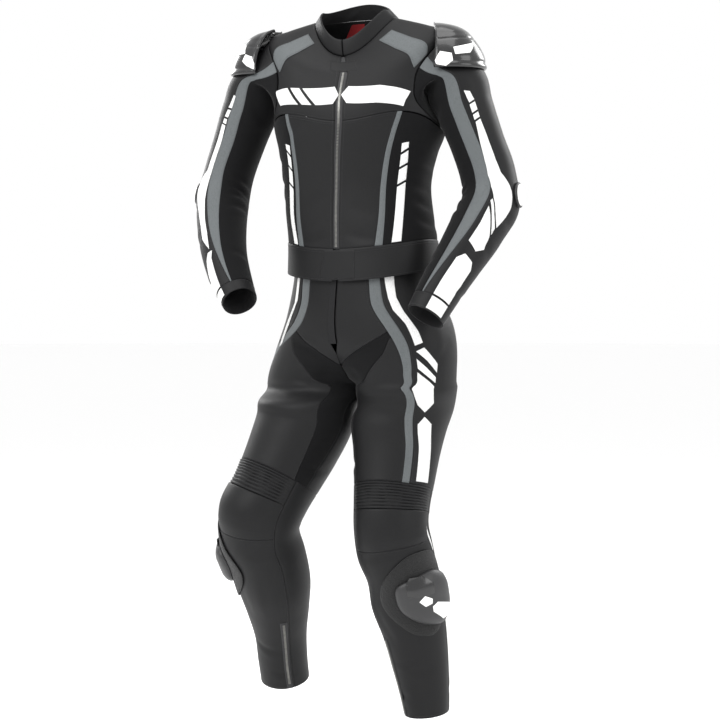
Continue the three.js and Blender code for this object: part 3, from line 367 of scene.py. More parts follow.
def panel(name, cloth, shape):
    """A wall over a patch of a surface, with folds, turned-in edges and topstitching. It stands
    for the node of the same name."""
    surface, facing, start, end = (shape[key] for key in ("surface", "facing", "start", "end"))
    wall = shape.get("wall", WALL)
    closed = shape.get("closed", False)
    gap = shape.get("gap", SEAM_GAP)
    step = shape.get("step", 5.0)
    low, high = shape["rows"][0], shape["rows"][-1]
    middle = (start(np.array([low, high])) + end(np.array([low, high]))) / 2
    per_unit = np.linalg.norm(
        surface(middle, np.array([low, high]) + 0.5) - surface(middle, np.array([low, high]) - 0.5), axis=-1
    )
    low += shape.get("start_gap", gap) / 2 / per_unit[0]
    high -= shape.get("end_gap", gap) / 2 / per_unit[1]
    if "stations" in shape:
        at = np.clip(shape["stations"], low, high)
    else:
        at = low + (high - low) * crowd((high - low) * per_unit.mean(), step)
    edges = [start(at), end(at)]
    if not closed:
        for k, sign in ((0, 1), (1, -1)):
            per_angle = np.linalg.norm(surface(edges[k] + 0.01, at) - surface(edges[k] - 0.01, at),
                axis=-1) / 0.02
            edges[k] = edges[k] + sign * gap / 2 / per_angle
    line = np.linspace(0, 1, 25)
    fine = surface(edges[0][:, None] + (edges[1] - edges[0])[:, None] * line, at[:, None] + 0 * line)
    width = np.linalg.norm(np.diff(fine, axis=1), axis=-1).sum(1)
    tall = np.concatenate([[0], np.cumsum(np.linalg.norm(np.diff(fine[:, 12], axis=0), axis=-1))])
    if closed:
        share = np.linspace(0, 1, max(24, int(width.mean() / step)), endpoint=False)
    else:
        share = crowd(width.mean(), step)
    angle = edges[0][:, None] + (edges[1] - edges[0])[:, None] * share
    station = at[:, None] + 0 * share
    base = surface(angle, station)
    normal = outward(surface, angle, station, facing)
    along = ((station - at[0]) / (at[-1] - at[0])) + 0 * share
    out = shape.get("out", 0)
    out = out(along) if callable(out) else out
    off = out + creases(shape.get("folds", ()), shape.get("radius", 60), angle, station)
    relief = shape.get("relief")
    lift = 0 if relief is None else relief(share + 0 * station, along, angle, station)
    ends = shape.get("open", "")
    dips = 0
    if not closed:
        dips = turned_in(share * width[:, None]) + turned_in((1 - share) * width[:, None])
    if "start" not in ends:
        dips = dips + turned_in(tall[:, None] + 0 * share)
    if "end" not in ends:
        dips = dips + turned_in(tall[-1] - tall[:, None] + 0 * share)
    outer = base + normal * (off + lift + dips)[..., None]
    inward = normal.copy()
    mitre = shape.get("mitre")
    if mitre is not None:
        mitre(inward, at, angle)
    inner = base + inward * (off - wall)[..., None]
    v = tall[:, None] + 0 * share
    u = (share - 0.5) * width[:, None]
    uv = np.stack([u, v], -1).reshape(-1, 2)
    made = shell(f"{name}_cut", outer, inner, closed, uv)
    made.data.materials.append(cloth)
    if shape.get("soft", True):
        lined = np.zeros(len(made.data.polygons), np.int32)
        rows_of_faces = (outer.shape[0] - 1) * (outer.shape[1] - (0 if closed else 1))
        lined[rows_of_faces : 2 * rows_of_faces] = 1
        made.data.materials.append(mesh_lining if shape.get("lined", True) else cloth)
        made.data.polygons.foreach_set("material_index", lined)
    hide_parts(name)
    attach(made, "root")
    if shape.get("soft", True):
        shape.get("held", "hung")
    group = shape.get("group")
    for edge, inset in shape.get("stitch", ()):
        if edge in ("start_side", "end_side"):
            spot = inset / width
            spot = spot if edge == "start_side" else 1 - spot
            place = edges[0] + (edges[1] - edges[0]) * spot
            stations = at
        else:
            shift = inset / per_unit.mean()
            level = low + shift if edge == "start" else high - shift
            stations = np.full(80, level)
            first, last = np.interp(level, at, edges[0]), np.interp(level, at, edges[1])
            place = np.linspace(first, last, 80)
            if not closed:
                place = place[3:-3]
                stations = stations[3:-3]
        where = surface(place, stations)
        facing_out = outward(surface, place, stations, facing)
        height = (out if np.isscalar(out) else 0) + creases(
            shape.get("folds", ()), shape.get("radius", 60), place, stations
        )
        sew(group, where + facing_out * height[:, None], facing_out)
    return made


def cowhide(name, colour, light, rough):
    """Aniline-dyed cowhide, drum-milled: a fine pebbled grain with a soft sheen, a little uneven in
    tone, with painted shade in the grooves between the pebbles. The pebbles are about 1 mm and drawn
    at 1.7 mm, so that they show."""
    made = bpy.data.materials.new(name)
    made.use_nodes = True
    tree = made.node_tree
    shader = tree.nodes["Principled BSDF"]
    shader.inputs["IOR"].default_value = 1.46
    shader.inputs["Specular IOR Level"].default_value = 0.22
    place = add(tree, "ShaderNodeTexCoord").outputs["Object"]
    cloud = add(tree, "ShaderNodeTexNoise", {"Vector": place, "Scale": 1 / 0.055, "Detail": 4.0,
        "Roughness": 0.6})
    tone = add(
        tree,
        "ShaderNodeMix",
        {"Factor": cloud.outputs["Fac"], "A": linear(colour), "B": linear(light)},
        data_type="RGBA",
    )
    pebbles = add(tree, "ShaderNodeTexVoronoi", {"Vector": place, "Scale": 1 / 0.0017, "Randomness": 0.9})
    pores = add(tree, "ShaderNodeTexNoise", {"Vector": place, "Scale": 1 / 0.0007, "Detail": 2.0})
    valley = add(tree, "ShaderNodeMapRange", {"Value": pebbles.outputs["Distance"], "From Max": 0.8,
        "To Min": 1.0, "To Max": 0.0})
    worn = add(
        tree, "ShaderNodeMapRange", {"Value": cloud.outputs["Fac"], "To Min": rough - 0.07,
            "To Max": rough + 0.08}
    )
    grain = add(
        tree, "ShaderNodeMath", {0: valley.outputs["Result"], 1: pores.outputs["Fac"]},
            operation="MULTIPLY_ADD"
    )
    grain.inputs[2].default_value = 0.1
    bump = add(tree, "ShaderNodeBump", {"Height": grain.outputs["Value"], "Strength": 0.32,
        "Distance": 0.0004})
    # Painted shade: the grooves between the pebbles are coloured darker, d8d8d8 there against white on the
    # pebble tops.
    shade = add(
        tree,
        "ShaderNodeMix",
        {"Factor": valley.outputs["Result"], "A": linear("d8d8d8"), "B": linear("ffffff")},
        data_type="RGBA",
    )
    # The leather's own uneven tone, multiplied by the painted shade in the grain's grooves.
    tone_and_painted_shade = add(
        tree,
        "ShaderNodeMix",
        {"Factor": 1.0, "A": tone.outputs["Result"], "B": shade.outputs["Result"]},
        data_type="RGBA",
        blend_type="MULTIPLY",
    )
    tree.links.new(tone_and_painted_shade.outputs["Result"], shader.inputs["Base Color"])
    tree.links.new(worn.outputs["Result"], shader.inputs["Roughness"])
    tree.links.new(bump.outputs["Normal"], shader.inputs["Normal"])
    return made


black_cowhide = cowhide("black_cowhide", "161617", "1b1b1c", 0.52)
grey_cowhide = cowhide("grey_cowhide", "5f6365", "666a6b", 0.5)
white_cowhide = cowhide("white_cowhide", "ececeb", "f4f4f3", 0.5)


def stretch_cloth(name, colour, light):
    """Aramid stretch cloth, knitted in fine ribs: matte, nearly black, with a faint fuzz. The ribs
    are 1 mm apart and drawn at 2.2 mm, so that they show."""
    made = bpy.data.materials.new(name)
    made.use_nodes = True
    tree = made.node_tree
    shader = tree.nodes["Principled BSDF"]
    shader.inputs["Roughness"].default_value = 0.92
    shader.inputs["Specular IOR Level"].default_value = 0.2
    shader.inputs["Sheen Weight"].default_value = 0.06
    shader.inputs["Sheen Roughness"].default_value = 0.4
    cut = add(tree, "ShaderNodeTexCoord").outputs["UV"]
    ribs = add(tree, "ShaderNodeTexWave", {"Vector": cut, "Scale": 0.314 / 0.0022, "Distortion": 0.4,
        "Detail": 1.0})
    loops = add(
        tree,
        "ShaderNodeTexWave",
        {"Vector": cut, "Scale": 0.314 / 0.0016, "Distortion": 0.6, "Detail": 1.0},
        bands_direction="Y",
    )
    knit = add(tree, "ShaderNodeMath", {0: ribs.outputs["Fac"], 1: loops.outputs["Fac"]},
        operation="MULTIPLY")
    tone = add(
        tree, "ShaderNodeMix", {"Factor": knit.outputs["Value"], "A": linear(colour),
            "B": linear(light)}, data_type="RGBA"
    )
    bump = add(tree, "ShaderNodeBump", {"Height": knit.outputs["Value"], "Strength": 0.5,
        "Distance": 0.0006})
    tree.links.new(tone.outputs["Result"], shader.inputs["Base Color"])
    tree.links.new(bump.outputs["Normal"], shader.inputs["Normal"])
    return made


aramid_stretch = stretch_cloth("aramid_stretch", "09090a", "0e0e10")
mesh_lining = stretch_cloth("mesh_lining", "1c1c1d", "262627")

TORSO_SEAMS = [
    dict(at=64, greyFront=30, greyBack=36, sideBack=122),
    dict(at=120, greyFront=33, greyBack=38, sideBack=122),
    dict(at=185, greyFront=34, greyBack=38.5, sideBack=122),
    dict(at=250, greyFront=35.5, greyBack=39.5, sideBack=125),
    dict(at=302, greyFront=38.5, greyBack=42, sideBack=131),
]
TORSO_RADIUS = 145
TORSO_FOLDS = [
    dict(angle=24, at=300, to_angle=46, to_at=262, deep=2.4, wide=9),
    dict(angle=-22, at=298, to_angle=-44, to_at=258, deep=2.2, wide=9),
    dict(angle=8, at=96, to_angle=34, to_at=78, deep=1.6, wide=8, bow=5),
    dict(angle=-6, at=92, to_angle=-30, to_at=74, deep=1.5, wide=8, bow=-5),
    dict(angle=12, at=150, to_angle=30, to_at=118, deep=1.2, wide=12),
    dict(angle=-10, at=170, to_angle=-28, to_at=128, deep=1.2, wide=12),
    dict(angle=62, at=150, to_angle=112, to_at=128, deep=3.0, wide=8, bow=6),
    dict(angle=56, at=184, to_angle=104, to_at=172, deep=2.6, wide=8, bow=5),
    dict(angle=64, at=226, to_angle=112, to_at=216, deep=2.2, wide=8, bow=-4),
    dict(angle=66, at=108, to_angle=118, to_at=92, deep=3.0, wide=7, bow=6),
    dict(angle=-62, at=150, to_angle=-112, to_at=128, deep=3.0, wide=8, bow=-6),
    dict(angle=-58, at=190, to_angle=-106, to_at=176, deep=2.6, wide=8, bow=-5),
    dict(angle=-60, at=226, to_angle=-108, to_at=218, deep=2.2, wide=8, bow=4),
    dict(angle=-66, at=108, to_angle=-118, to_at=92, deep=3.0, wide=7, bow=-6),
    dict(angle=136, at=120, to_angle=176, to_at=104, deep=2.6, wide=10, bow=6),
    dict(angle=184, at=104, to_angle=226, to_at=122, deep=2.6, wide=10, bow=6),
    dict(angle=138, at=160, to_angle=170, to_at=148, deep=1.8, wide=11, bow=4),
    dict(angle=190, at=150, to_angle=222, to_at=164, deep=1.8, wide=11, bow=4),
    dict(angle=120, at=360, to_angle=146, to_at=318, deep=2.8, wide=10),
    dict(angle=240, at=360, to_angle=214, to_at=318, deep=2.8, wide=10),
    dict(angle=44, at=344, to_angle=30, to_at=318, deep=1.6, wide=9),
    dict(angle=-44, at=344, to_angle=-30, to_at=318, deep=1.6, wide=9),
]
ARMHOLE_MIDDLE = (ARMPIT + SHOULDER_TIP) / 2
ARMHOLE_HALF = (SHOULDER_TIP - ARMPIT) / 2
ARMHOLE_REACH = math.radians(42)
ARMHOLE_SQUARE = 3.4


def armhole_spot(side, angle):
    """The armhole in the torso's own angle and station: an oval with a squarer lower half."""
    power = np.where(np.sin(angle) < 0, 2 / ARMHOLE_SQUARE, 1.0)
    reach = np.sign(np.cos(angle)) * np.abs(np.cos(angle)) ** power
    lift = np.sign(np.sin(angle)) * np.abs(np.sin(angle)) ** power
    return side_sign(side) * (QUARTER - ARMHOLE_REACH * reach), ARMHOLE_MIDDLE + ARMHOLE_HALF * lift


def armhole_share(at):
    return np.clip((at - ARMHOLE_MIDDLE) / ARMHOLE_HALF, -1, 1)


def armhole_reach(at):
    share = armhole_share(at)
    square = np.where(share < 0, ARMHOLE_SQUARE, 2.0)
    return ARMHOLE_REACH * np.clip(1 - np.abs(share) ** square, 0, 1) ** (1 / square)


def armhole_angle(at, behind):
    share = armhole_share(at)
    power = np.where(share < 0, ARMHOLE_SQUARE / 2, 1.0)
    lift = np.sign(share) * np.arcsin(np.abs(share) ** power)
    return math.pi - lift if behind else lift


def armhole_mitre(side, angle):
    """The walls of body and sleeve share one inward direction at the armhole."""
    spot, at = armhole_spot(side, angle)
    body = outward(torso, spot, at, 1)
    sleeve = outward(sleeve_skins[side], angle, np.full(np.shape(angle), 3.0), -side_sign(side))
    return unit(body + sleeve)

ARM = {
    "left": [
        dict(at=62, x=191, y=6, z=-88, wide=62, fore=62, aft=68, turn=5, tilt=0.8),
        dict(at=122, x=214, y=8, z=-146, wide=57, fore=58, aft=62, turn=5, tilt=1),
        dict(at=190, x=239, y=10, z=-211, wide=53, fore=53, aft=57, turn=2, tilt=1),
        dict(at=256, x=261, y=12, z=-276, wide=54, fore=53, aft=56, turn=0, tilt=1),
        dict(at=310, x=269, y=2, z=-328, wide=57, fore=54, aft=60, turn=-8, tilt=1),
        dict(at=368, x=254, y=-32, z=-380, wide=54, fore=52, aft=54, turn=-14, tilt=1),
        dict(at=446, x=229, y=-76, z=-445, wide=47, fore=47, aft=47, turn=-18, tilt=1),
        dict(at=520, x=203, y=-116, z=-507, wide=41, fore=42, aft=42, turn=-20, tilt=1),
        dict(at=572, x=187, y=-141, z=-550, wide=37, fore=39, aft=39, turn=-20, tilt=1),
    ],
    "right": [
        dict(at=62, x=-220, y=4, z=-86, wide=58, fore=62, aft=66, turn=-5, tilt=0.8),
        dict(at=122, x=-248, y=2, z=-142, wide=55, fore=57, aft=60, turn=-5, tilt=1),
        dict(at=190, x=-271, y=-2, z=-206, wide=51, fore=53, aft=56, turn=0, tilt=1),
        dict(at=256, x=-290, y=-8, z=-268, wide=50, fore=52, aft=55, turn=2, tilt=1),
        dict(at=310, x=-297, y=-20, z=-318, wide=53, fore=52, aft=58, turn=10, tilt=1),
        dict(at=368, x=-286, y=-48, z=-368, wide=50, fore=50, aft=52, turn=16, tilt=1),
        dict(at=446, x=-262, y=-86, z=-432, wide=45, fore=46, aft=46, turn=20, tilt=1),
        dict(at=520, x=-228, y=-120, z=-490, wide=40, fore=42, aft=42, turn=22, tilt=1),
        dict(at=564, x=-204, y=-140, z=-522, wide=35, fore=39, aft=39, turn=22, tilt=1),
    ],
}

def limb_ring(rows, i, side):
    """A limb's ring lies square to its middle line: angle 0 is its front, a quarter its outer side."""
    row = rows[i]
    before, after = rows[max(i - 1, 0)], rows[min(i + 1, len(rows) - 1)]
    along = unit(np.array([after[k] - before[k] for k in "xyz"], float))
    down = unit(np.array([0, 0, -1.0]) * (1 - row["tilt"]) + along * row["tilt"])
    turn = math.radians(row["turn"])
    front = np.array([math.sin(turn), -math.cos(turn), 0])
    front = unit(front - down * (front @ down))
    outer = np.cross(front, down) * side_sign(side)

    def point(angle):
        out, back = oval(angle, row["wide"], row["fore"], row["aft"], 2.1)
        middle = np.array([row["x"], row["y"], row["z"]])
        return middle + out[:, None] * outer - back[:, None] * front

    return row["at"], point


def arm_skin(side):
    armhole = (0, lambda angle: torso(*armhole_spot(side, angle)))
    return skin([armhole] + [limb_ring(ARM[side], i, side) for i in range(len(ARM[side]))])


sleeve_skins = {side: arm_skin(side) for side in SIDES}
ZIP_HALF = math.radians(2.4)


def half_torso(name, cloth, side, shape):
    """A torso panel on one half. Its edges are given from the front to the back."""
    front, back = shape["front"], shape["back"]
    start = front if side == "left" else lambda at: -back(at)
    end = back if side == "left" else lambda at: -front(at)
    swap = {"start_side": "end_side", "end_side": "start_side"}
    lines = [(e if side == "left" else swap.get(e, e), inset) for e, inset in shape.get("stitch", ())]
    return panel(
        f"{name}_{side}",
        cloth,
        {
            "surface": torso,
            "facing": 1,
            "radius": TORSO_RADIUS,
            "folds": TORSO_FOLDS,
            "group": "jacket",
            **shape,
            "start": start,
            "end": end,
            "stitch": lines,
        },
    )


def rounding(low, high, count):
    return low + (high - low) * (1 - np.cos(np.linspace(0, math.pi, count + 1))) / 2


body_rows = (BAND_TOP, ARMPIT)
shoulder_stations = np.concatenate(
    [
        [ARMPIT, ARMPIT + 0.9],
        rounding(ARMPIT, SHOULDER_TIP, 44)[2:],
        steps(SHOULDER_TIP, NECK_SEAM, 4.5)[1:-2],
        [NECK_SEAM - 3, NECK_SEAM - 1.4, NECK_SEAM],
    ]
)

for side in SIDES:
    grey_front = seam(TORSO_SEAMS, "greyFront")
    grey_back = seam(TORSO_SEAMS, "greyBack")
    side_back = seam(TORSO_SEAMS, "sideBack")
    zip_edge = constant(ZIP_HALF)
    rows = body_rows
    half_torso(
        "front", black_cowhide, side,
        dict(front=zip_edge, back=grey_front, rows=rows,
            stitch=[("start_side", 5), ("end_side", 2.6), ("end", 2.6), ("end", 6)]),
    )
    half_torso("torso_grey", grey_cowhide, side, dict(front=grey_front, back=grey_back, rows=rows))
    half_torso(
        "side", aramid_stretch, side,
        dict(front=grey_back, back=side_back, rows=rows, end_gap=6),
    )
    half_torso(
        "hem_band", black_cowhide, side,
        dict(front=zip_edge, back=constant(math.pi), rows=(HEM, BAND_TOP), out=1, open="start",
             stitch=[("start", 3), ("end", 3), ("end", 6.4)]),
    )

    def chest_mitre(inward, at, angle, side=side):
        edge = -1 if side == "left" else 0
        at = np.clip(at, ARMPIT, SHOULDER_TIP)
        inward[:, edge] = np.where(
            (at < SHOULDER_TIP)[:, None], armhole_mitre(side, armhole_angle(at, False)), inward[:, edge]
        )

    half_torso(
        "chest", black_cowhide, side,
        dict(front=zip_edge, back=lambda at: QUARTER - armhole_reach(at), rows=(ARMPIT, NECK_SEAM),
             start_gap=1, stations=shoulder_stations, mitre=chest_mitre,
             stitch=[("start_side", 5), ("start", 2.6), ("end", 3)]),
    )

panel(
    "back", black_cowhide,
    dict(surface=torso, facing=1, start=side_back, end=lambda at: TURN - side_back(at), rows=body_rows,
         radius=TORSO_RADIUS, folds=TORSO_FOLDS, group="jacket",
         stitch=[("start_side", 2.6), ("start_side", 6), ("end_side", 2.6), ("end_side", 6), ("end", 2.6)]),
)


def yoke_mitre(inward, at, angle):
    at = np.clip(at, ARMPIT, SHOULDER_TIP)
    for edge, side in ((0, "left"), (-1, "right")):
        inward[:, edge] = np.where(
            (at < SHOULDER_TIP)[:, None], armhole_mitre(side, armhole_angle(at, True)), inward[:, edge]
        )


panel(
    "back_yoke", black_cowhide,
    dict(surface=torso, facing=1, start=lambda at: QUARTER + armhole_reach(at),
         end=lambda at: TURN - QUARTER - armhole_reach(at), rows=(ARMPIT, NECK_SEAM), start_gap=1,
         stations=shoulder_stations, mitre=yoke_mitre, radius=TORSO_RADIUS, folds=TORSO_FOLDS,
         group="jacket", stitch=[("start", 2.6), ("start", 6), ("end", 3)]),
)

# The stand collar is soft black cowhide over foam, sewn to the neck seam. It leans in and is
# higher behind. Its rim is a turned edge with one line of stitching below it.
COLLAR = [
    dict(at=0, front=-38, side=38, back=46, rise=0, wide=88, fore=62, aft=70, square=2, turn=-4, x=-16,
        y=12),
    dict(at=20, front=-21, side=48, back=62, rise=0, wide=76, fore=60, aft=65, square=2.1, turn=-4,
        x=-17, y=9),
    dict(at=40, front=-6, side=56, back=76, rise=0, wide=69, fore=58, aft=62, square=2.2, turn=-4,
        x=-18, y=6),
]
collar_skin = skin([torso_ring(row) for row in COLLAR])


def collar_round(share, along, angle, at):
    """The padded collar swells between its rim and the neck seam."""
    return 1.3 * np.sin(math.pi * np.clip(along, 0, 1)) ** 0.8


panel(
    "collar", black_cowhide,
    dict(surface=collar_skin, facing=1, start=constant(math.radians(0.8)),
         end=constant(TURN - math.radians(0.8)), rows=(0, 40), start_gap=1, relief=collar_round, step=3.5,
         radius=72, group="jacket", stitch=[("end", 4.5), ("start", 2.6)],
         folds=[dict(angle=150, at=2, to_angle=172, to_at=30, deep=1.2, wide=6),
                dict(angle=214, at=4, to_angle=196, to_at=28, deep=1.2, wide=6),
                dict(angle=84, at=6, to_angle=100, to_at=34, deep=1.0, wide=5),
                dict(angle=276, at=6, to_angle=262, to_at=34, deep=1.0, wide=5)]),
)

# The sleeves: black cowhide outside, a grey cowhide stripe in front and aramid stretch cloth on
# the inner side, set into the armholes. The cuffs are plain bands, open at the wrist.
SLEEVE_SEAMS = [
    dict(at=0, greyFront=20, greyBack=36, innerBack=212),
    dict(at=50, greyFront=-2, greyBack=16, innerBack=216),
    dict(at=95, greyFront=-13, greyBack=12, innerBack=222),
    dict(at=150, greyFront=-15, greyBack=14, innerBack=225),
    dict(at=235, greyFront=-11, greyBack=21, innerBack=225),
    dict(at=285, greyFront=-10, greyBack=22, innerBack=225),
    dict(at=410, greyFront=-3, greyBack=22, innerBack=225),
    dict(at=490, greyFront=-2, greyBack=10, innerBack=225),
    dict(at=540, greyFront=-4, greyBack=1, innerBack=225),
]
CUFF_TOP = 540
ARM_RADIUS = 54
SLEEVE_FOLDS = {
    "left": [
        dict(angle=-30, at=292, to_angle=-110, to_at=318, deep=3.2, wide=7, bow=5),
        dict(angle=-28, at=322, to_angle=-104, to_at=330, deep=3.0, wide=7, bow=-4),
        dict(angle=-36, at=262, to_angle=-108, to_at=286, deep=2.4, wide=7, bow=4),
        dict(angle=-24, at=356, to_angle=-92, to_at=350, deep=2.2, wide=7),
        dict(angle=-20, at=60, to_angle=-96, to_at=84, deep=2.6, wide=8, bow=6),
        dict(angle=-26, at=96, to_angle=-90, to_at=128, deep=2.0, wide=8, bow=5),
        dict(angle=50, at=398, to_angle=120, to_at=420, deep=1.6, wide=7),
        dict(angle=64, at=340, to_angle=128, to_at=352, deep=1.8, wide=8),
        dict(angle=140, at=190, to_angle=210, to_at=176, deep=2.0, wide=9),
        dict(angle=130, at=110, to_angle=204, to_at=128, deep=2.4, wide=9),
        dict(angle=60, at=512, to_angle=150, to_at=500, deep=1.4, wide=6),
        dict(angle=-20, at=470, to_angle=-90, to_at=482, deep=1.6, wide=7),
    ],
    "right": [
        dict(angle=-26, at=284, to_angle=-112, to_at=308, deep=3.2, wide=7, bow=5),
        dict(angle=-24, at=314, to_angle=-100, to_at=324, deep=3.0, wide=7, bow=-4),
        dict(angle=-34, at=252, to_angle=-104, to_at=276, deep=2.4, wide=7, bow=4),
        dict(angle=-22, at=350, to_angle=-94, to_at=344, deep=2.2, wide=7),
        dict(angle=-22, at=56, to_angle=-94, to_at=80, deep=2.6, wide=8, bow=6),
        dict(angle=-28, at=100, to_angle=-92, to_at=130, deep=2.0, wide=8, bow=5),
        dict(angle=54, at=402, to_angle=124, to_at=420, deep=1.6, wide=7),
        dict(angle=62, at=334, to_angle=126, to_at=348, deep=1.8, wide=8),
        dict(angle=142, at=186, to_angle=208, to_at=172, deep=2.0, wide=9),
        dict(angle=132, at=106, to_angle=206, to_at=124, deep=2.4, wide=9),
        dict(angle=62, at=508, to_angle=148, to_at=498, deep=1.4, wide=6),
        dict(angle=-18, at=466, to_angle=-88, to_at=478, deep=1.6, wide=7),
    ],
}

for side in SIDES:
    grey_front = seam(SLEEVE_SEAMS, "greyFront")
    grey_back = seam(SLEEVE_SEAMS, "greyBack")
    inner_back = seam(SLEEVE_SEAMS, "innerBack")
    sleeve_cuts = (
        ("sleeve_grey", grey_cowhide, grey_front, grey_back, ()),
        ("sleeve_outer", black_cowhide, grey_back, inner_back,
            [("start_side", 2.6), ("end_side", 2.6), ("start", 7)]),
        ("sleeve_inner", aramid_stretch, inner_back, lambda at: grey_front(at) + TURN, ()),
    )
    for part, cloth, start, end, stitch in sleeve_cuts:

        def sleeve_mitre(inward, at, angle, side=side):
            inward[0] = armhole_mitre(side, angle[0])

        panel(
            f"{part}_{side}", cloth,
            dict(surface=sleeve_skins[side], facing=-side_sign(side), start=start, end=end,
                 rows=(0, CUFF_TOP), start_gap=4.8, radius=ARM_RADIUS, folds=SLEEVE_FOLDS[side],
                 mitre=sleeve_mitre, group="sleeves", stitch=stitch),
        )
    panel(
        f"cuff_{side}", black_cowhide,
        dict(surface=sleeve_skins[side], facing=-side_sign(side), start=constant(0), end=constant(TURN),
             rows=(CUFF_TOP, ARM[side][-1]["at"]), closed=True, open="end", radius=ARM_RADIUS,
             group="sleeves", stitch=[("start", 2.6), ("end", 3.2)], step=4),
    )

# The trousers: one oval at the waist that parts into two legs. Black cowhide outside, a grey
# stripe, aramid stretch cloth in the groin and down the inner thigh, and shaped knees.
PELVIS = [
    dict(at=0, z=-395, x=0, y=2, left=140, right=140, fore=93, aft=94, turn=-10),
    dict(at=88, z=-483, x=-1, y=2, left=151, right=147, fore=98, aft=102, turn=-12),
    dict(at=165, z=-560, x=-4, y=2, left=192, right=167, fore=98, aft=138, turn=-14),
    dict(at=230, z=-620, x=-4, y=2, left=205, right=195, fore=97, aft=146, turn=-14),
    dict(at=300, z=-690, x=-4, y=6, left=202, right=223, fore=96, aft=132, turn=-14),
    dict(at=308, z=-698, x=-4, y=6, left=201, right=223, fore=96, aft=132, turn=-14),
]
CROTCH = dict(at=300, rise=135, half_front=88, half_back=104, back=8)
LEG = {
    "left": [
        dict(at=340, x=90, y=3, z=-730, wide=96, fore=88, aft=100, turn=-12, tilt=0.2),
        dict(at=382, x=79, y=-2, z=-772, wide=95, fore=86, aft=92, turn=-4, tilt=0.6),
        dict(at=434, x=78.7, y=-12, z=-823, wide=86, fore=82, aft=84, turn=5, tilt=1),
        dict(at=486, x=79.6, y=-26, z=-873, wide=80, fore=78, aft=78, turn=10, tilt=1),
        dict(at=536, x=79.8, y=-40, z=-921, wide=75.5, fore=76, aft=74, turn=13, tilt=1),
        dict(at=580, x=81.2, y=-46, z=-964, wide=74.5, fore=78, aft=72, turn=13, tilt=1),
        dict(at=628, x=85.5, y=-38, z=-1011, wide=76, fore=74, aft=72, turn=13, tilt=1),
        dict(at=682, x=95, y=-22, z=-1062, wide=71, fore=67, aft=72, turn=13, tilt=1),
        dict(at=742, x=98, y=-4, z=-1119, wide=71, fore=63, aft=70, turn=13, tilt=1),
        dict(at=806, x=107.6, y=14, z=-1180, wide=64, fore=58, aft=64, turn=13, tilt=1),
        dict(at=870, x=113, y=30, z=-1241, wide=57.5, fore=54, aft=57, turn=13, tilt=1),
        dict(at=930, x=118, y=42, z=-1300, wide=50.5, fore=50, aft=51, turn=13, tilt=1),
        dict(at=978, x=121, y=49, z=-1347, wide=45, fore=47, aft=47, turn=13, tilt=1),
    ],
    "right": [
        dict(at=340, x=-119, y=2, z=-728, wide=102, fore=90, aft=100, turn=-15, tilt=0.3),
        dict(at=382, x=-125.7, y=-4, z=-768, wide=98, fore=90, aft=96, turn=-17, tilt=0.7),
        dict(at=434, x=-141, y=-18, z=-814, wide=91, fore=88, aft=90, turn=-20, tilt=1),
        dict(at=486, x=-157, y=-36, z=-860, wide=85, fore=84, aft=84, turn=-22, tilt=1),
        dict(at=536, x=-173.4, y=-54, z=-904, wide=80, fore=80, aft=80, turn=-23, tilt=1),
        dict(at=580, x=-188.8, y=-64, z=-945, wide=80, fore=88, aft=78, turn=-23, tilt=1),
        dict(at=628, x=-197.4, y=-56, z=-992, wide=77, fore=81, aft=78, turn=-23, tilt=1),
        dict(at=682, x=-192.3, y=-34, z=-1042, wide=76, fore=74, aft=78, turn=-23, tilt=1),
        dict(at=742, x=-192, y=-6, z=-1096, wide=74, fore=70, aft=76, turn=-23, tilt=1),
        dict(at=806, x=-197, y=24, z=-1152, wide=64, fore=60, aft=66, turn=-23, tilt=1),
        dict(at=870, x=-202, y=52, z=-1208, wide=53, fore=52, aft=54, turn=-23, tilt=1),
        dict(at=930, x=-208, y=76, z=-1262, wide=50.5, fore=50, aft=51, turn=-23, tilt=1),
        dict(at=978, x=-210, y=93, z=-1306, wide=50, fore=49, aft=49, turn=-23, tilt=1),
    ],
}

def pelvis_ring(at, side, share):
    """Half of the pelvis, blended with the leg's own ring: share 1 is all pelvis."""
    read = {name: float(column(PELVIS, name)(np.array([at]))[0]) for name in ("z", "x", "y", "fore",
        "aft", "turn", side)}
    wide = read[side]
    turn = math.radians(read["turn"])

    def point(angle):
        half_out, half_back = oval((angle + QUARTER) / 2, wide, read["fore"], read["aft"], 2.25)
        ring_out, ring_back = oval(angle, wide / 2, CROTCH["half_front"], CROTCH["half_back"], 2.1)
        out = (ring_out + wide / 2 + 1) * (1 - share) + half_out * share
        back = (ring_back + CROTCH["back"]) * (1 - share) + half_back * share
        out = out * side_sign(side)
        x = read["x"] + out * math.cos(turn) - back * math.sin(turn)
        y = read["y"] + out * math.sin(turn) + back * math.cos(turn)
        return np.stack([x, y, np.full(np.shape(angle), read["z"])], -1)

    return at, point


def leg_skin(side):
    rings = [pelvis_ring(at, side, 1) for at in (0, 45, 88, 128)]
    for i in range(6):
        bend = QUARTER * (5 - i) / 5
        rings.append(pelvis_ring(CROTCH["at"] - CROTCH["rise"] * (1 - math.cos(bend)), side,
            math.sin(bend)))
    rings.append(pelvis_ring(308, side, 0))
    return skin(rings + [limb_ring(LEG[side], i, side) for i in range(len(LEG[side]))])


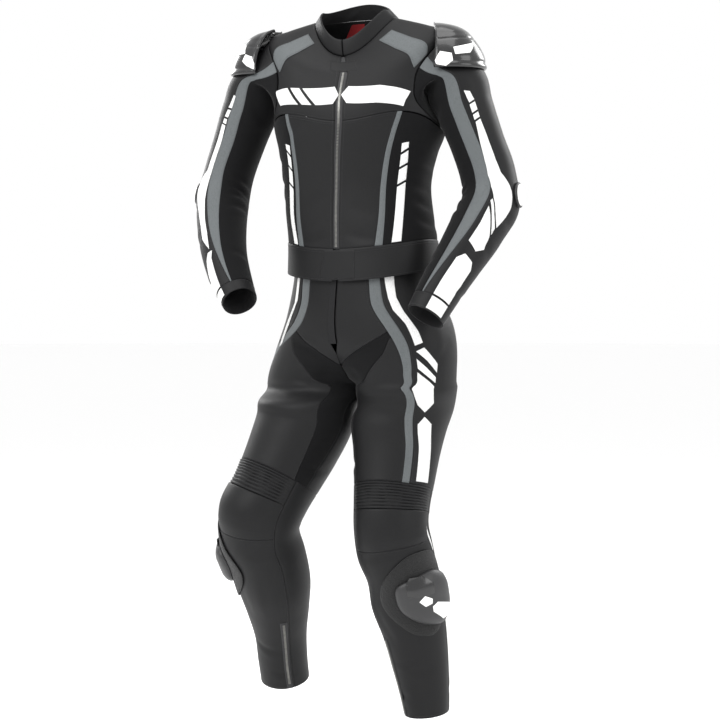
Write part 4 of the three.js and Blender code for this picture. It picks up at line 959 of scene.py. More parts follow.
leg_skins = {side: leg_skin(side) for side in SIDES}
LEG_SEAMS = {
    "left": [
        dict(at=0, greyIn=-35, greyOut=-20, back=150),
        dict(at=88, greyIn=-32, greyOut=-14, back=150),
        dict(at=135, greyIn=-32, greyOut=-14, back=150),
        dict(at=180, greyIn=-18, greyOut=0, back=150),
        dict(at=214, greyIn=-6, greyOut=11, back=150),
        dict(at=250, greyIn=6, greyOut=19, back=150),
        dict(at=289, greyIn=19, greyOut=30, back=154),
        dict(at=307, greyIn=29, greyOut=39, back=156),
        dict(at=366, greyIn=30, greyOut=40, back=160),
        dict(at=505, greyIn=21, greyOut=32, back=165),
    ],
    "right": [
        dict(at=0, greyIn=-42, greyOut=-24, back=150),
        dict(at=88, greyIn=-40, greyOut=-21, back=150),
        dict(at=135, greyIn=-42, greyOut=-25, back=150),
        dict(at=175, greyIn=-32, greyOut=-12, back=150),
        dict(at=200, greyIn=-14, greyOut=8, back=150),
        dict(at=225, greyIn=16, greyOut=38, back=150),
        dict(at=262, greyIn=44, greyOut=58, back=152),
        dict(at=366, greyIn=56, greyOut=68, back=160),
        dict(at=505, greyIn=56, greyOut=68, back=165),
    ],
}
STRETCH_SEAM = [
    dict(at=235, angle=-22),
    dict(at=262, angle=-34),
    dict(at=290, angle=-41),
    dict(at=370, angle=-52),
    dict(at=505, angle=-66),
]
GROIN_TOP = 189
ABDOMEN_FOOT = 258
THIGH_TOP = 200
PLEATS_TOP = 505
PLEATS_FOOT = 551
CUP_FOOT = 612
KNEE_IN = math.radians(-70)
KNEE_OUT = math.radians(84)
FLY_HALF = math.radians(5)
PLEAT_COUNT = 9
PLEAT_RISE = 2.4
LEG_RADIUS = 78
LEG_FOLDS = {
    "left": [
        dict(angle=-66, at=236, to_angle=-20, to_at=222, deep=2.4, wide=7, bow=5),
        dict(angle=-76, at=266, to_angle=-44, to_at=292, deep=2.2, wide=7),
        dict(angle=-40, at=330, to_angle=-80, to_at=372, deep=1.8, wide=9),
        dict(angle=-60, at=470, to_angle=-112, to_at=452, deep=2.4, wide=8),
        dict(angle=150, at=560, to_angle=230, to_at=578, deep=3.2, wide=8, bow=6),
        dict(angle=146, at=536, to_angle=226, to_at=546, deep=3.2, wide=8, bow=4),
        dict(angle=152, at=600, to_angle=232, to_at=606, deep=2.8, wide=8, bow=-4),
        dict(angle=140, at=300, to_angle=236, to_at=318, deep=3.0, wide=10, bow=8),
        dict(angle=40, at=620, to_angle=-50, to_at=626, deep=1.8, wide=6, bow=-5),
        dict(angle=12, at=842, to_angle=-46, to_at=856, deep=1.6, wide=7, bow=4),
        dict(angle=34, at=880, to_angle=-20, to_at=866, deep=1.5, wide=8),
        dict(angle=120, at=690, to_angle=200, to_at=716, deep=2.2, wide=10, bow=5),
        dict(angle=-60, at=700, to_angle=-30, to_at=820, deep=1.4, wide=10),
        dict(angle=84, at=936, to_angle=150, to_at=924, deep=1.6, wide=8),
        dict(angle=-24, at=928, to_angle=-84, to_at=940, deep=1.6, wide=7),
        dict(angle=60, at=250, to_angle=110, to_at=210, deep=1.6, wide=12),
    ],
    "right": [
        dict(angle=-66, at=236, to_angle=-20, to_at=220, deep=2.4, wide=7, bow=5),
        dict(angle=-76, at=266, to_angle=-46, to_at=290, deep=2.2, wide=7),
        dict(angle=-36, at=262, to_angle=-4, to_at=330, deep=1.8, wide=10),
        dict(angle=-62, at=476, to_angle=-114, to_at=458, deep=2.4, wide=8),
        dict(angle=148, at=562, to_angle=228, to_at=578, deep=3.2, wide=8, bow=6),
        dict(angle=144, at=536, to_angle=224, to_at=548, deep=3.2, wide=8, bow=4),
        dict(angle=150, at=602, to_angle=230, to_at=608, deep=2.8, wide=8, bow=-4),
        dict(angle=140, at=300, to_angle=236, to_at=320, deep=3.0, wide=10, bow=8),
        dict(angle=-28, at=640, to_angle=-64, to_at=616, deep=1.8, wide=6, bow=4),
        dict(angle=-34, at=648, to_angle=-66, to_at=634, deep=1.5, wide=5),
        dict(angle=-40, at=690, to_angle=-34, to_at=780, deep=1.3, wide=9),
        dict(angle=10, at=706, to_angle=4, to_at=800, deep=1.2, wide=10),
        dict(angle=20, at=868, to_angle=-50, to_at=880, deep=1.5, wide=8, bow=4),
        dict(angle=120, at=690, to_angle=196, to_at=716, deep=2.2, wide=10, bow=5),
        dict(angle=-20, at=936, to_angle=-84, to_at=946, deep=1.6, wide=7),
        dict(angle=74, at=940, to_angle=150, to_at=926, deep=1.6, wide=8),
    ],
}


def pleat_relief(share, along, angle, at):
    """The knee accordion: narrow folds of cowhide gathered over elastic, flat at the side seams."""
    edge = np.clip(np.minimum(share, 1 - share) * 8, 0, 1)
    fade = edge * edge * (3 - 2 * edge)
    sway = 0.05 * np.sin(angle * 9) + 0.03 * np.sin(angle * 23 + 1)
    wave = np.abs(np.sin((along * PLEAT_COUNT + sway * np.sin(along * math.pi)) * math.pi))
    return fade * (PLEAT_RISE * wave**0.8 - 0.2)


def knee_cup_relief(share, along, angle, at):
    """The moulded knee guard swells under the leather and has a step round its edge."""
    across = np.clip(np.minimum(share, 1 - share) * 5, 0, 1)
    down = np.clip(np.minimum(along + 0.25, 1.06 - along) * 3.2, 0, 1)
    swell = across * across * (3 - 2 * across) * down * down * (3 - 2 * down)
    return 3.2 * swell


for side in SIDES:
    grey_in = seam(LEG_SEAMS[side], "greyIn")
    grey_out = seam(LEG_SEAMS[side], "greyOut")
    back_seam = seam(LEG_SEAMS[side], "back")
    inner_seam = seam(STRETCH_SEAM, "angle")

    def abdomen_seam(at):
        share = np.clip((at - GROIN_TOP) / (ABDOMEN_FOOT - GROIN_TOP), 0, 1)
        top = grey_in(np.array([GROIN_TOP]))[0] - math.radians(3)
        return top + (math.radians(-87) - top) * share

    def thigh_seam(at):
        share = np.clip((at - THIGH_TOP) / 35, 0, 1)
        top = grey_in(np.array([THIGH_TOP]))[0] - math.radians(3)
        return top + (inner_seam(at) - top) * share

    leg = dict(surface=leg_skins[side], facing=-side_sign(side), radius=LEG_RADIUS,
        folds=LEG_FOLDS[side], group="trousers")
    hem = LEG[side][-1]["at"]

    def leg_panel(name, cloth, start, end, rows, side=side, leg=leg, **more):
        return panel(f"{name}_{side}", cloth, {**leg, "start": start, "end": end, "rows": rows, **more})

    leg_panel(
        "abdomen", black_cowhide,
        lambda at: -QUARTER + FLY_HALF * np.clip((236 - at) / 22, 0, 1),
        lambda at: np.where(at < GROIN_TOP, grey_in(at), abdomen_seam(at)),
        (0, ABDOMEN_FOOT), stitch=[("end_side", 2.6), ("end_side", 6)],
    )
    leg_panel(
        "groin", aramid_stretch,
        lambda at: np.where(at <= ABDOMEN_FOOT, abdomen_seam(at), -QUARTER),
        lambda at: np.where(at < THIGH_TOP, grey_in(at), thigh_seam(at)),
        (GROIN_TOP, PLEATS_TOP),
    )
    leg_panel("thigh", black_cowhide, thigh_seam, grey_in, (THIGH_TOP, PLEATS_TOP),
        stitch=[("start_side", 2.6), ("end", 2.6)])
    leg_panel("thigh_grey", grey_cowhide, grey_in, grey_out, (0, PLEATS_TOP))
    leg_panel("thigh_outer", black_cowhide, grey_out, back_seam, (0, PLEATS_TOP),
        stitch=[("start_side", 2.6), ("end_side", 2.6), ("end", 2.6)])
    leg_panel("seat", black_cowhide, back_seam, constant(TURN - QUARTER), (0, PLEATS_TOP),
        stitch=[("start_side", 2.6), ("start_side", 6)])
    leg_panel(
        "knee_pleats", black_cowhide, constant(KNEE_IN), constant(KNEE_OUT), (PLEATS_TOP, PLEATS_FOOT),
        relief=pleat_relief, held="gathered", stations=steps(PLEATS_TOP, PLEATS_FOOT, 0.72), step=3.5,
    )
    leg_panel(
        "knee_cup", black_cowhide, constant(KNEE_IN), constant(KNEE_OUT), (PLEATS_FOOT, CUP_FOOT),
        relief=knee_cup_relief, stitch=[("start", 2.6), ("end", 2.6), ("start_side", 2.6), ("end_side",
            2.6)],
    )
    leg_panel(
        "shin", black_cowhide, constant(KNEE_IN), constant(KNEE_OUT), (CUP_FOOT, hem), open="end",
        stitch=[("start", 2.6), ("start_side", 2.6), ("end_side", 2.6), ("end", 5)],
    )
    leg_panel(
        "calf", black_cowhide, constant(KNEE_OUT), constant(KNEE_IN + TURN), (PLEATS_TOP, hem), open="end",
        stitch=[("start_side", 2.6), ("end", 5)],
    )

# The coloured inlays: white and grey cowhide 0.9 mm thick, cut to shape and sewn down on the black
# panels. Each corner is an angle in degrees and a station in millimetres on its panel's surface.
INLAY_WALL = 0.9
TORSO_UNDER = dict(surface=torso, facing=1, radius=TORSO_RADIUS, folds=TORSO_FOLDS, group="jacket")


def limb_under(skins, side, radius, folds, group):
    return dict(surface=skins[side], facing=-side_sign(side), radius=radius, folds=folds[side], group=group)


def inside_outline(points, outline):
    x, y = points[:, 0, None], points[:, 1, None]
    a, b = outline, np.roll(outline, -1, 0)
    crosses = (a[:, 1] > y) != (b[:, 1] > y)
    rise = np.where(b[:, 1] == a[:, 1], 1e-9, b[:, 1] - a[:, 1])
    at = a[:, 0] + (y - a[:, 1]) * (b[:, 0] - a[:, 0]) / rise
    return (np.sum(crosses & (x < at), 1) % 2) == 1


def ground(under, angle, at):
    """How far what the inlay lies on stands off the surface."""
    above = under.get("above")
    return creases(under["folds"], under["radius"], angle,
        at) + (above(angle, at) if above else under.get("out", 0))


def inlay(name, cloth, under, outlines, lift=0.3, wall=INLAY_WALL, step=5.0, nodes=(), sewn=True):
    """Flat pieces laid on a panel, all in one object: each outline is a list of (angle, station)."""
    radius, facing = under["radius"], under["facing"]
    all_points, all_faces, all_uv, total = [], [], [], 0
    for corners in outlines:
        flat = np.array([(radius * math.radians(a), s) for a, s in corners], float)
        if np.cross(flat - flat.mean(0), np.roll(flat, -1, 0) - flat.mean(0)).sum() < 0:
            flat = flat[::-1]
        dense = []
        for p, q in zip(flat, np.roll(flat, -1, 0)):
            count = max(1, int(np.linalg.norm(q - p) / 3.5))
            dense += [p + (q - p) * k / count for k in range(count)]
        dense = np.array(dense)
        low, high = dense.min(0), dense.max(0)
        grid = np.stack(np.meshgrid(np.arange(low[0], high[0], step), np.arange(low[1], high[1], step)),
            -1).reshape(-1, 2)
        if len(grid):
            grid = grid[inside_outline(grid, dense)]
        if len(grid):
            near = np.linalg.norm(grid[:, None] - dense[None], axis=-1).min(1)
            grid = grid[near > 0.5 * step]
        spots = np.concatenate([dense, grid]) if len(grid) else dense
        filled = geometry.delaunay_2d_cdt([Vector(p) for p in spots], [], [list(range(len(dense)))], 1,
            1e-6)
        spots = np.array([tuple(p) for p in filled[0]])
        triangles = np.array([f for f in filled[2] if len(f) == 3])
        angle, at = spots[:, 0] / radius, spots[:, 1]
        base = under["surface"](angle, at)
        normal = outward(under["surface"], angle, at, facing)
        off = ground(under, angle, at) + lift
        directed = np.concatenate([triangles[:, [0, 1]], triangles[:, [1, 2]], triangles[:, [2, 0]]])
        counts = {}
        for e in directed.tolist():
            counts[tuple(sorted(e))] = counts.get(tuple(sorted(e)), 0) + 1
        rim = np.array([e for e in directed.tolist() if counts[tuple(sorted(e))] == 1])
        edge = np.zeros(len(spots), bool)
        edge[rim.ravel()] = True
        top = base + normal * (off + wall - np.where(edge, 0.35, 0))[:, None]
        bottom = base + normal * off[:, None]
        n = len(spots)
        triangles = np.concatenate([triangles, triangles[:, ::-1] + n])
        rim = np.concatenate([np.stack([rim[:, 1], rim[:, 0], rim[:, 0] + n, rim[:, 1] + n], -1)])
        if inside_out(np.concatenate([top, bottom]), triangles):
            triangles, rim = triangles[:, ::-1], rim[:, ::-1]
        faces = triangles.tolist() + rim.tolist()
        all_faces += [[i + total for i in f] for f in faces]
        all_points += [top, bottom]
        all_uv += [spots, spots]
        total += 2 * n
        if sewn:
            along = np.roll(dense, -1, 0) - np.roll(dense, 1, 0)
            along /= np.linalg.norm(along, axis=1, keepdims=True)
            inset = dense + np.stack([-along[:, 1], along[:, 0]], -1) * 2.2
            inset = np.concatenate([inset, inset[:1]])
            a2, s2 = inset[:, 0] / radius, inset[:, 1]
            n2 = outward(under["surface"], a2, s2, facing)
            h2 = ground(under, a2, s2) + lift + wall
            sew(sewn if isinstance(sewn, str) else under["group"],
                under["surface"](a2, s2) + n2 * h2[:, None], n2)
    made = mesh_object(name, np.concatenate(all_points), all_faces, np.concatenate(all_uv))
    made.data.materials.append(cloth)
    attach(made, "root")
    if nodes:
        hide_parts(*nodes)
    return made


def mirrored(corners):
    return [(-angle, at) for angle, at in corners]


def stripe(inner, outer, top, foot):
    """Part of a stripe between two edge curves, cut off at a station on each edge."""
    down = np.linspace(top[0], foot[0], max(2, int(abs(top[0] - foot[0]) / 8) + 2))
    up = np.linspace(foot[1], top[1], max(2, int(abs(top[1] - foot[1]) / 8) + 2))
    return [(float(inner(np.array([s]))[0]), s) for s in down] + [(float(outer(np.array([s]))[0]),
        s) for s in up]


white_on = "white"
CHEST_WHITE = {
    "right": [
        [(-51, 347), (-37.5, 359.5), (-28.5, 326.5), (-45, 320)],
        [(-35, 361), (-28, 365), (-18.5, 331), (-25.5, 328)],
        [(-25.5, 366), (-4, 380), (-0.7, 359), (-4, 338), (-15.6, 332)],
    ],
    "left": [[(1, 359), (5, 380), (25, 369), (46, 342), (43, 325), (42, 311), (24, 329), (5, 339)]],
}
for side in SIDES:
    inlay(f"chest_white_cut_{side}", white_cowhide, TORSO_UNDER, CHEST_WHITE[side],
        nodes=(f"chest_white_{side}",),
          sewn=white_on)

SIDE_WHITE = {
    "right": [
        dict(at=50, inner=-35, outer=-39.5),
        dict(at=124, inner=-40.5, outer=-46),
        dict(at=173, inner=-40.5, outer=-46),
        dict(at=229, inner=-40.5, outer=-44.5),
        dict(at=258, inner=-40.5, outer=-45.5),
    ],
    "left": [
        dict(at=50, inner=42, outer=50),
        dict(at=110, inner=45.5, outer=53),
        dict(at=179, inner=47.5, outer=55),
        dict(at=229, inner=47.5, outer=54),
        dict(at=256, inner=46.5, outer=52),
    ],
}
SIDE_WHITE_PARTS = [((253, 256), (238, 247)), ((233, 242), (212, 221)), ((207, 216), (180, 189)),
    ((175, 184), (67, 67))]
for side in SIDES:
    inner, outer = column(SIDE_WHITE[side], "inner"), column(SIDE_WHITE[side], "outer")
    outlines = [stripe(inner, outer, top, foot) for top, foot in SIDE_WHITE_PARTS]
    inlay(f"side_white_cut_{side}", white_cowhide, TORSO_UNDER, outlines, sewn=white_on)

SHOULDER_GREY = [
    dict(at=383, low=47, high=55.5),
    dict(at=403, low=43, high=55.5),
    dict(at=430, low=40, high=55),
    dict(at=466, low=40.5, high=56),
    dict(at=506, low=42, high=58),
]
for side in SIDES:
    low_edge, high_edge = column(SHOULDER_GREY, "low"), column(SHOULDER_GREY, "high")
    outline = stripe(low_edge, high_edge, (505, 503), (384, 400))
    outline = outline if side == "left" else mirrored(outline)
    inlay(f"shoulder_grey_cut_{side}", grey_cowhide, TORSO_UNDER, [outline])

SLEEVE_WHITE = {
    "left": [
        [(20, 98), (31, 102), (36, 119), (25, 122)],
        [(24, 126), (36, 123), (36, 139), (24, 142)],
        [(24, 146), (36, 143), (36, 153), (24, 156)],
        [(25, 160), (36, 157), (39, 190), (40, 239), (45, 265), (63, 290), (69, 301), (77, 326),
            (79, 343), (72, 369),
         (60, 358), (50, 346), (34, 323), (24, 300), (18, 267), (18, 235), (20, 209)],
        [(31, 331), (33, 326), (52, 353), (69, 372), (70, 386), (49, 357)],
        [(33, 342), (46, 358), (69, 391), (78, 415), (63, 429), (36, 419), (36, 378)],
    ],
    "right": [
        [(14, 98), (9, 99), (11, 123), (20, 124)],
        [(20, 128), (11, 127), (14, 143), (24, 143)],
        [(24, 147), (15, 147), (15, 157), (25, 156)],
        [(16, 160), (27, 159), (29, 198), (34, 259), (49, 276), (60, 302), (52, 345), (47, 388),
            (47, 420), (39, 436),
         (31, 450), (29, 412), (31, 376), (28, 333), (23, 296), (19, 257), (16, 195)],
    ],
}
CUFF_WHITE = {
    "left": [[(46, 444), (34, 458), (33, 500), (33, 538), (88, 538), (86, 500), (83, 462), (72, 449)]],
    "right": [[(24, 456), (31, 470), (35, 538), (80, 538), (66, 500), (50, 468), (38, 456)]],
}
CUFF_WHITE_LOW = {
    "left": [[(33, 542.5), (33, 569), (89, 569), (88, 542.5)]],
    "right": [[(35, 542.5), (35, 560), (83, 560), (81, 542.5)]],
}
for side in SIDES:
    under = limb_under(sleeve_skins, side, ARM_RADIUS, SLEEVE_FOLDS, "sleeves")
    inlay(f"sleeve_white_cut_{side}", white_cowhide, under, SLEEVE_WHITE[side], sewn=white_on)
    inlay(f"cuff_white_cut_{side}", white_cowhide, under, CUFF_WHITE[side] + CUFF_WHITE_LOW[side],
        sewn=white_on)

THIGH_WHITE = {
    "left": [
        [(-7, 0), (-7, 40), (-6, 86), (-6, 121), (-3, 143), (11, 171), (22, 216), (35, 210), (29, 186),
            (13, 147), (7, 119),
         (10, 85), (10, 40), (10, 0)],
        [(24, 228), (37, 220), (64, 253), (64, 270), (44, 247)],
        [(26, 243), (44, 260), (63, 279), (64, 290), (31, 262)],
        [(32, 269), (65, 297), (67, 328), (55, 346), (46, 332)],
        [(55, 355), (65, 369), (65, 430), (65, 497), (42, 499), (45, 430), (46, 372)],
    ],
    "right": [[(-14, 0), (-13, 60), (-12, 86), (-15, 125), (-4, 159), (9, 216), (17, 224), (9, 172),
        (-7, 130), (-4, 86), (-4, 40), (-5, 0)]],
}
for side in SIDES:
    under = limb_under(leg_skins, side, LEG_RADIUS, LEG_FOLDS, "trousers")
    inlay(f"thigh_white_cut_{side}", white_cowhide, under, THIGH_WHITE[side], sewn=white_on)

CALF_WHITE = [
    dict(at=553, inner=85.5, outer=95),
    dict(at=613, inner=86, outer=98),
    dict(at=653, inner=87, outer=99),
    dict(at=701, inner=89, outer=99),
    dict(at=762, inner=89, outer=99),
    dict(at=839, inner=88, outer=98),
    dict(at=975, inner=86, outer=97),
]
calf_inner, calf_outer = column(CALF_WHITE, "inner"), column(CALF_WHITE, "outer")
under = limb_under(leg_skins, "left", LEG_RADIUS, LEG_FOLDS, "trousers")
inlay("calf_white_cut_left", white_cowhide, under, [stripe(calf_inner, calf_outer, (975, 975), (556, 556))],
      sewn=white_on)
inlay("knee_white_cut_left", white_cowhide, under,
      [[(66, 554), (71, 554), (73, 580), (79, 618), (82, 640), (80, 640), (75, 618), (68, 580)]],
          sewn=False)

# The main front zip: coated cloth tape with metal teeth, closed, from the hem band to the neck.
# The neck flap of cowhide covers its slider, and a plain tab closes the waist over its foot.
def tape(name, red, rough):
    """Woven tape coated with polyurethane: dark, faintly ribbed, roughness 0.6."""
    made = bpy.data.materials.new(name)
    made.use_nodes = True
    tree = made.node_tree
    shader = tree.nodes["Principled BSDF"]
    place = add(tree, "ShaderNodeTexCoord")
    rib = add(tree, "ShaderNodeTexWave", {"Vector": place.outputs["Object"], "Scale": 260.0,
        "Distortion": 0.4})
    shade = add(tree, "ShaderNodeMix", {"Factor": rib.outputs["Fac"], "A": linear(red),
        "B": linear("1e1e20")},
                data_type="RGBA")
    bump = add(tree, "ShaderNodeBump", {"Strength": 0.3, "Distance": 0.0002, "Height": rib.outputs["Fac"]})
    tree.links.new(shade.outputs["Result"], shader.inputs["Base Color"])
    tree.links.new(bump.outputs["Normal"], shader.inputs["Normal"])
    shader.inputs["Roughness"].default_value = rough
    return made


def metal(name, low, high, rough):
    """Nickelled brass: fully metallic, lightly rubbed, roughness about 0.35."""
    made = bpy.data.materials.new(name)
    made.use_nodes = True
    tree = made.node_tree
    shader = tree.nodes["Principled BSDF"]
    place = add(tree, "ShaderNodeTexCoord")
    rub = add(tree, "ShaderNodeTexNoise", {"Vector": place.outputs["Object"], "Scale": 140.0,
        "Detail": 4.0})
    shade = add(tree, "ShaderNodeMix", {"Factor": rub.outputs["Fac"], "A": linear(low), "B": linear(high)},
                data_type="RGBA")
    tree.links.new(shade.outputs["Result"], shader.inputs["Base Color"])
    shader.inputs["Metallic"].default_value = 1.0
    shader.inputs["Roughness"].default_value = rough
    return made


zip_tape = tape("coated_zip_tape", "161618", 0.6)
zip_metal = metal("nickelled_brass", "6c6c6a", "a2a19c", 0.35)


def lumps(name, centres, across, along, out, sizes, cloth, taper=0.75):
    """Small six-sided blocks in one object. Each has a centre and three directions."""
    corner = np.array([(-1, -1, 0), (1, -1, 0), (1, 1, 0), (-1, 1, 0), (-1, -1, 1), (1, -1, 1),
        (1, 1, 1), (-1, 1, 1)], float)
    corner[4:, :2] *= taper
    box = [(0, 3, 2, 1), (4, 5, 6, 7), (0, 1, 5, 4), (1, 2, 6, 5), (2, 3, 7, 6), (3, 0, 4, 7)]
    spots = corner * np.array(sizes) * np.array([0.5, 0.5, 1])
    points = (
        centres[:, None]
        + across[:, None] * spots[None, :, :1]
        + along[:, None] * spots[None, :, 1:2]
        + out[:, None] * spots[None, :, 2:]
    ).reshape(-1, 3)
    faces = (np.array(box)[None] + 8 * np.arange(len(centres))[:, None, None]).reshape(-1, 4)
    if inside_out(points, faces):
        faces = faces[:, ::-1]
    made = mesh_object(name, points, faces)
    made.data.materials.append(cloth)
    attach(made, "root")
    return made


def teeth(name, surface, facing, angle, low, high, height, wide=5.2, pitch=2.4):
    """Zip teeth along a line of constant angle: two rows that lock, drawn as one row of bars."""
    at = np.arange(low, high, pitch)
    line = np.full(at.shape, float(angle))
    spots = surface(line, at)
    normal = outward(surface, line, at, facing)
    along = unit(surface(line, at + 0.5) - surface(line, at - 0.5))
    sideways = np.cross(normal, along)
    return lumps(name, spots + normal * height, sideways, along, normal, (wide, 1.5, 1.1), cloth=zip_metal)


ZIP_OUT = -0.4
panel(
    "front_zip", zip_tape,
    dict(surface=torso, facing=1, start=constant(-ZIP_HALF), end=constant(ZIP_HALF),
        rows=(BAND_TOP, NECK_SEAM - 3),
         wall=1.6, out=ZIP_OUT, held="hung", step=4.5),
)
teeth("front_zip_teeth", torso, 1, 0, BAND_TOP + 4, 424, ZIP_OUT)


def row_between(low, high, first, last):
    """A value that runs evenly from first at one station to last at another, in degrees."""
    return lambda at: np.radians(np.interp(at, (low, high), (first, last)))


panel(
    "neck_flap", black_cowhide,
    dict(surface=torso, facing=1, start=row_between(428, 487, -8.8, -12.5),
        end=row_between(428, 487, 8.8, 12.5),
         rows=(428, 487), gap=0, wall=1.6, out=0.7, held="laid", group="jacket", radius=TORSO_RADIUS,
         stitch=[("start", 2.2), ("start_side", 2.2), ("end_side", 2.2)], step=4),
)
panel(
    "hem_tab", black_cowhide,
    dict(surface=torso, facing=1, start=row_between(3, 61, -14, -10), end=constant(math.radians(15.5)),
         rows=(3, 61), gap=0, wall=1.6, out=1.7, held="laid", group="jacket", radius=TORSO_RADIUS,
         stitch=[("start", 2.2), ("end", 2.2), ("start_side", 2.2), ("end_side", 2.2)], step=4),
)

# The label inside the neck: bare red woven cloth, sewn to the yoke's lining at its upper edge.
label_cloth = stretch_cloth("woven_label_cloth", "a32f32", "ae3b3e")
panel(
    "neck_label", label_cloth,
    dict(surface=torso, facing=1, start=constant(math.radians(190)), end=constant(math.radians(207)),
         rows=(466, 517), gap=0, wall=1.0, out=-WALL - 2.8, lined=False, held="hung"),
)

# The trousers' fly zip on the middle line, and the zip down the inner side of each calf: coated
# tape with metal teeth, both closed.
def fly_skin(angle, at):
    angle, at = np.broadcast_arrays(np.asarray(angle, float), np.asarray(at, float))
    left = leg_skins["left"](-QUARTER + np.abs(angle), at)
    right = leg_skins["right"](-QUARTER + np.abs(angle), at)
    return np.where((angle > 0)[..., None], left, right)


panel(
    "fly_zip", zip_tape,
    dict(surface=fly_skin, facing=1, start=constant(-FLY_HALF), end=constant(FLY_HALF), rows=(0, 214),
         wall=1.6, out=ZIP_OUT, held="hung", step=4),
)
teeth("fly_zip_teeth", fly_skin, 1, 0.001, 8, 206, ZIP_OUT)
for side in SIDES:
    skin_here, hem_here = leg_skins[side], LEG[side][-1]["at"]
    panel(
        f"calf_zip_{side}", zip_tape,
        dict(surface=skin_here, facing=-side_sign(side), start=constant(math.radians(-66)),
             end=constant(math.radians(-52)), rows=(800, hem_here - 2), gap=0, wall=1.6, out=1.6,
                 held="laid",
             group="trousers", radius=LEG_RADIUS, stitch=[("start_side", 1.6), ("end_side", 1.6)]),
    )
    teeth(f"calf_zip_teeth_{side}", skin_here, -side_sign(side), math.radians(-59), 806, hem_here - 12, 1.6)

# The band of zip tape inside the jacket's hem, where the two halves of the suit are zipped
# together: sewn to the trousers' waist above and to the jacket below.
CONNECTING_FOOT = 46


def waist_point(angle):
    half = 2 * np.arccos(np.clip(np.cos(angle), -1, 1)) - QUARTER
    left, right = leg_skins["left"](half, 18), leg_skins["right"](half, 18)
    return np.where((np.sin(angle) < 0)[..., None], right, left)


connecting = skin([(0, lambda angle: torso(angle, CONNECTING_FOOT)), (30, waist_point)])
panel(
    "connecting_band", zip_tape,
    dict(surface=connecting, facing=1, start=constant(0), end=constant(TURN), rows=(0, 30), closed=True,
        gap=0,
         wall=1.2, out=lambda along: -5.4 + 10.9 * along, lined=False, open="start end"),
)

# The shoulder caps: moulded shells of glossy black polyurethane over foam, with a raised foot,
# a padded top and two white plates each. They are sewn round the point of the shoulder.
def moulded(name, low, high, rough, coat=0.0, scale=90.0, depth=0.00005):
    """Moulded plastic: even in colour, with fine orange peel. Roughness 0.25 gloss, 0.5 satin."""
    made = bpy.data.materials.new(name)
    made.use_nodes = True
    tree = made.node_tree
    shader = tree.nodes["Principled BSDF"]
    place = add(tree, "ShaderNodeTexCoord")
    peel = add(tree, "ShaderNodeTexNoise", {"Vector": place.outputs["Object"], "Scale": scale,
        "Detail": 3.0})
    tone = add(tree, "ShaderNodeMix", {"Factor": peel.outputs["Fac"], "A": linear(low), "B": linear(high)},
               data_type="RGBA")
    bump = add(tree, "ShaderNodeBump", {"Strength": 0.4, "Distance": depth, "Height": peel.outputs["Fac"]})
    tree.links.new(tone.outputs["Result"], shader.inputs["Base Color"])
    tree.links.new(bump.outputs["Normal"], shader.inputs["Normal"])
    shader.inputs["Roughness"].default_value = rough
    shader.inputs["Coat Weight"].default_value = coat
    return made


gloss_shell = moulded("gloss_polyurethane", "101011", "151516", 0.24, coat=0.3)
white_shell = moulded("white_polyurethane", "e9e9e7", "f2f2f0", 0.38)
slider_plastic = moulded("satin_polyurethane", "1f1f20", "272728", 0.48, scale=260.0)
CAP = [
    dict(at=0, x=184, y=4, z=-68, wide=72, fore=70, aft=80),
    dict(at=24, x=184, y=4, z=-44, wide=70, fore=67, aft=77),
    dict(at=52, x=181, y=4, z=-17, wide=59, fore=57, aft=64),
    dict(at=76, x=175, y=5, z=4, wide=46, fore=45, aft=51),
    dict(at=92, x=168, y=5, z=16, wide=31, fore=32, aft=36),
    dict(at=104, x=160, y=5, z=22, wide=14, fore=18, aft=20),
]
CAP_SHIFT = {"left": -2.8, "right": -24.2}
CAP_WHITE = {
    "left": [[(-2, 12), (6, 30), (24, 26), (26, 12), (16, 1), (2, 4)],
        [(28, 38), (76, 50), (56, 28), (30, 24)]],
    "right": [[(52, 54), (34, 62), (22, 42), (42, 40)],
        [(20, 40), (4, 34), (-2, 20), (-2, 8), (12, 16), (22, 26)]],
}


def cap_skin(side):
    def ring(row):
        def point(angle):
            out, back = oval(angle, row["wide"], row["fore"], row["aft"], 2.1)
            x = side_sign(side) * (row["x"] + out) + CAP_SHIFT[side]
            return np.stack([x, row["y"] + back, np.full(np.shape(angle), float(row["z"]))], -1)

        return row["at"], point

    return skin([ring(row) for row in CAP])


def cap_height(angle, at):
    """A raised rim along the foot and up both ends, a groove above it and a padded top."""
    foot = 2.4 * np.exp(-(((at - 5) / 4.5) ** 2)) - 1.0 * np.exp(-(((at - 13) / 3) ** 2))
    ends = 2.0 * np.exp(-(((angle - 0.02) / 0.07) ** 2)) + 2.0 * np.exp(-(((angle - 3.02) / 0.07) ** 2))
    top = 1.6 / (1 + np.exp(-(at - 74) / 1.6))
    ridge = -1.1 * np.exp(-(((at - 56 - 6 * np.sin(angle)) / 1.8) ** 2))
    return foot + ends + top + ridge


for side in SIDES:
    surface = cap_skin(side)
    panel(
        f"shoulder_cap_{side}", gloss_shell,
        dict(surface=surface, facing=side_sign(side), start=constant(math.radians(-4)),
             end=constant(math.radians(178)), rows=(0, 104), gap=0, wall=3, soft=False, step=3,
                 group="white",
             relief=lambda share, along, angle, at: cap_height(angle, at)),
    )
    under = dict(surface=surface, facing=side_sign(side), radius=66, folds=(), group="jacket",
        above=cap_height)
    inlay(f"shoulder_plates_{side}", white_shell, under, CAP_WHITE[side], lift=0.2, wall=1.6,
        sewn=False)


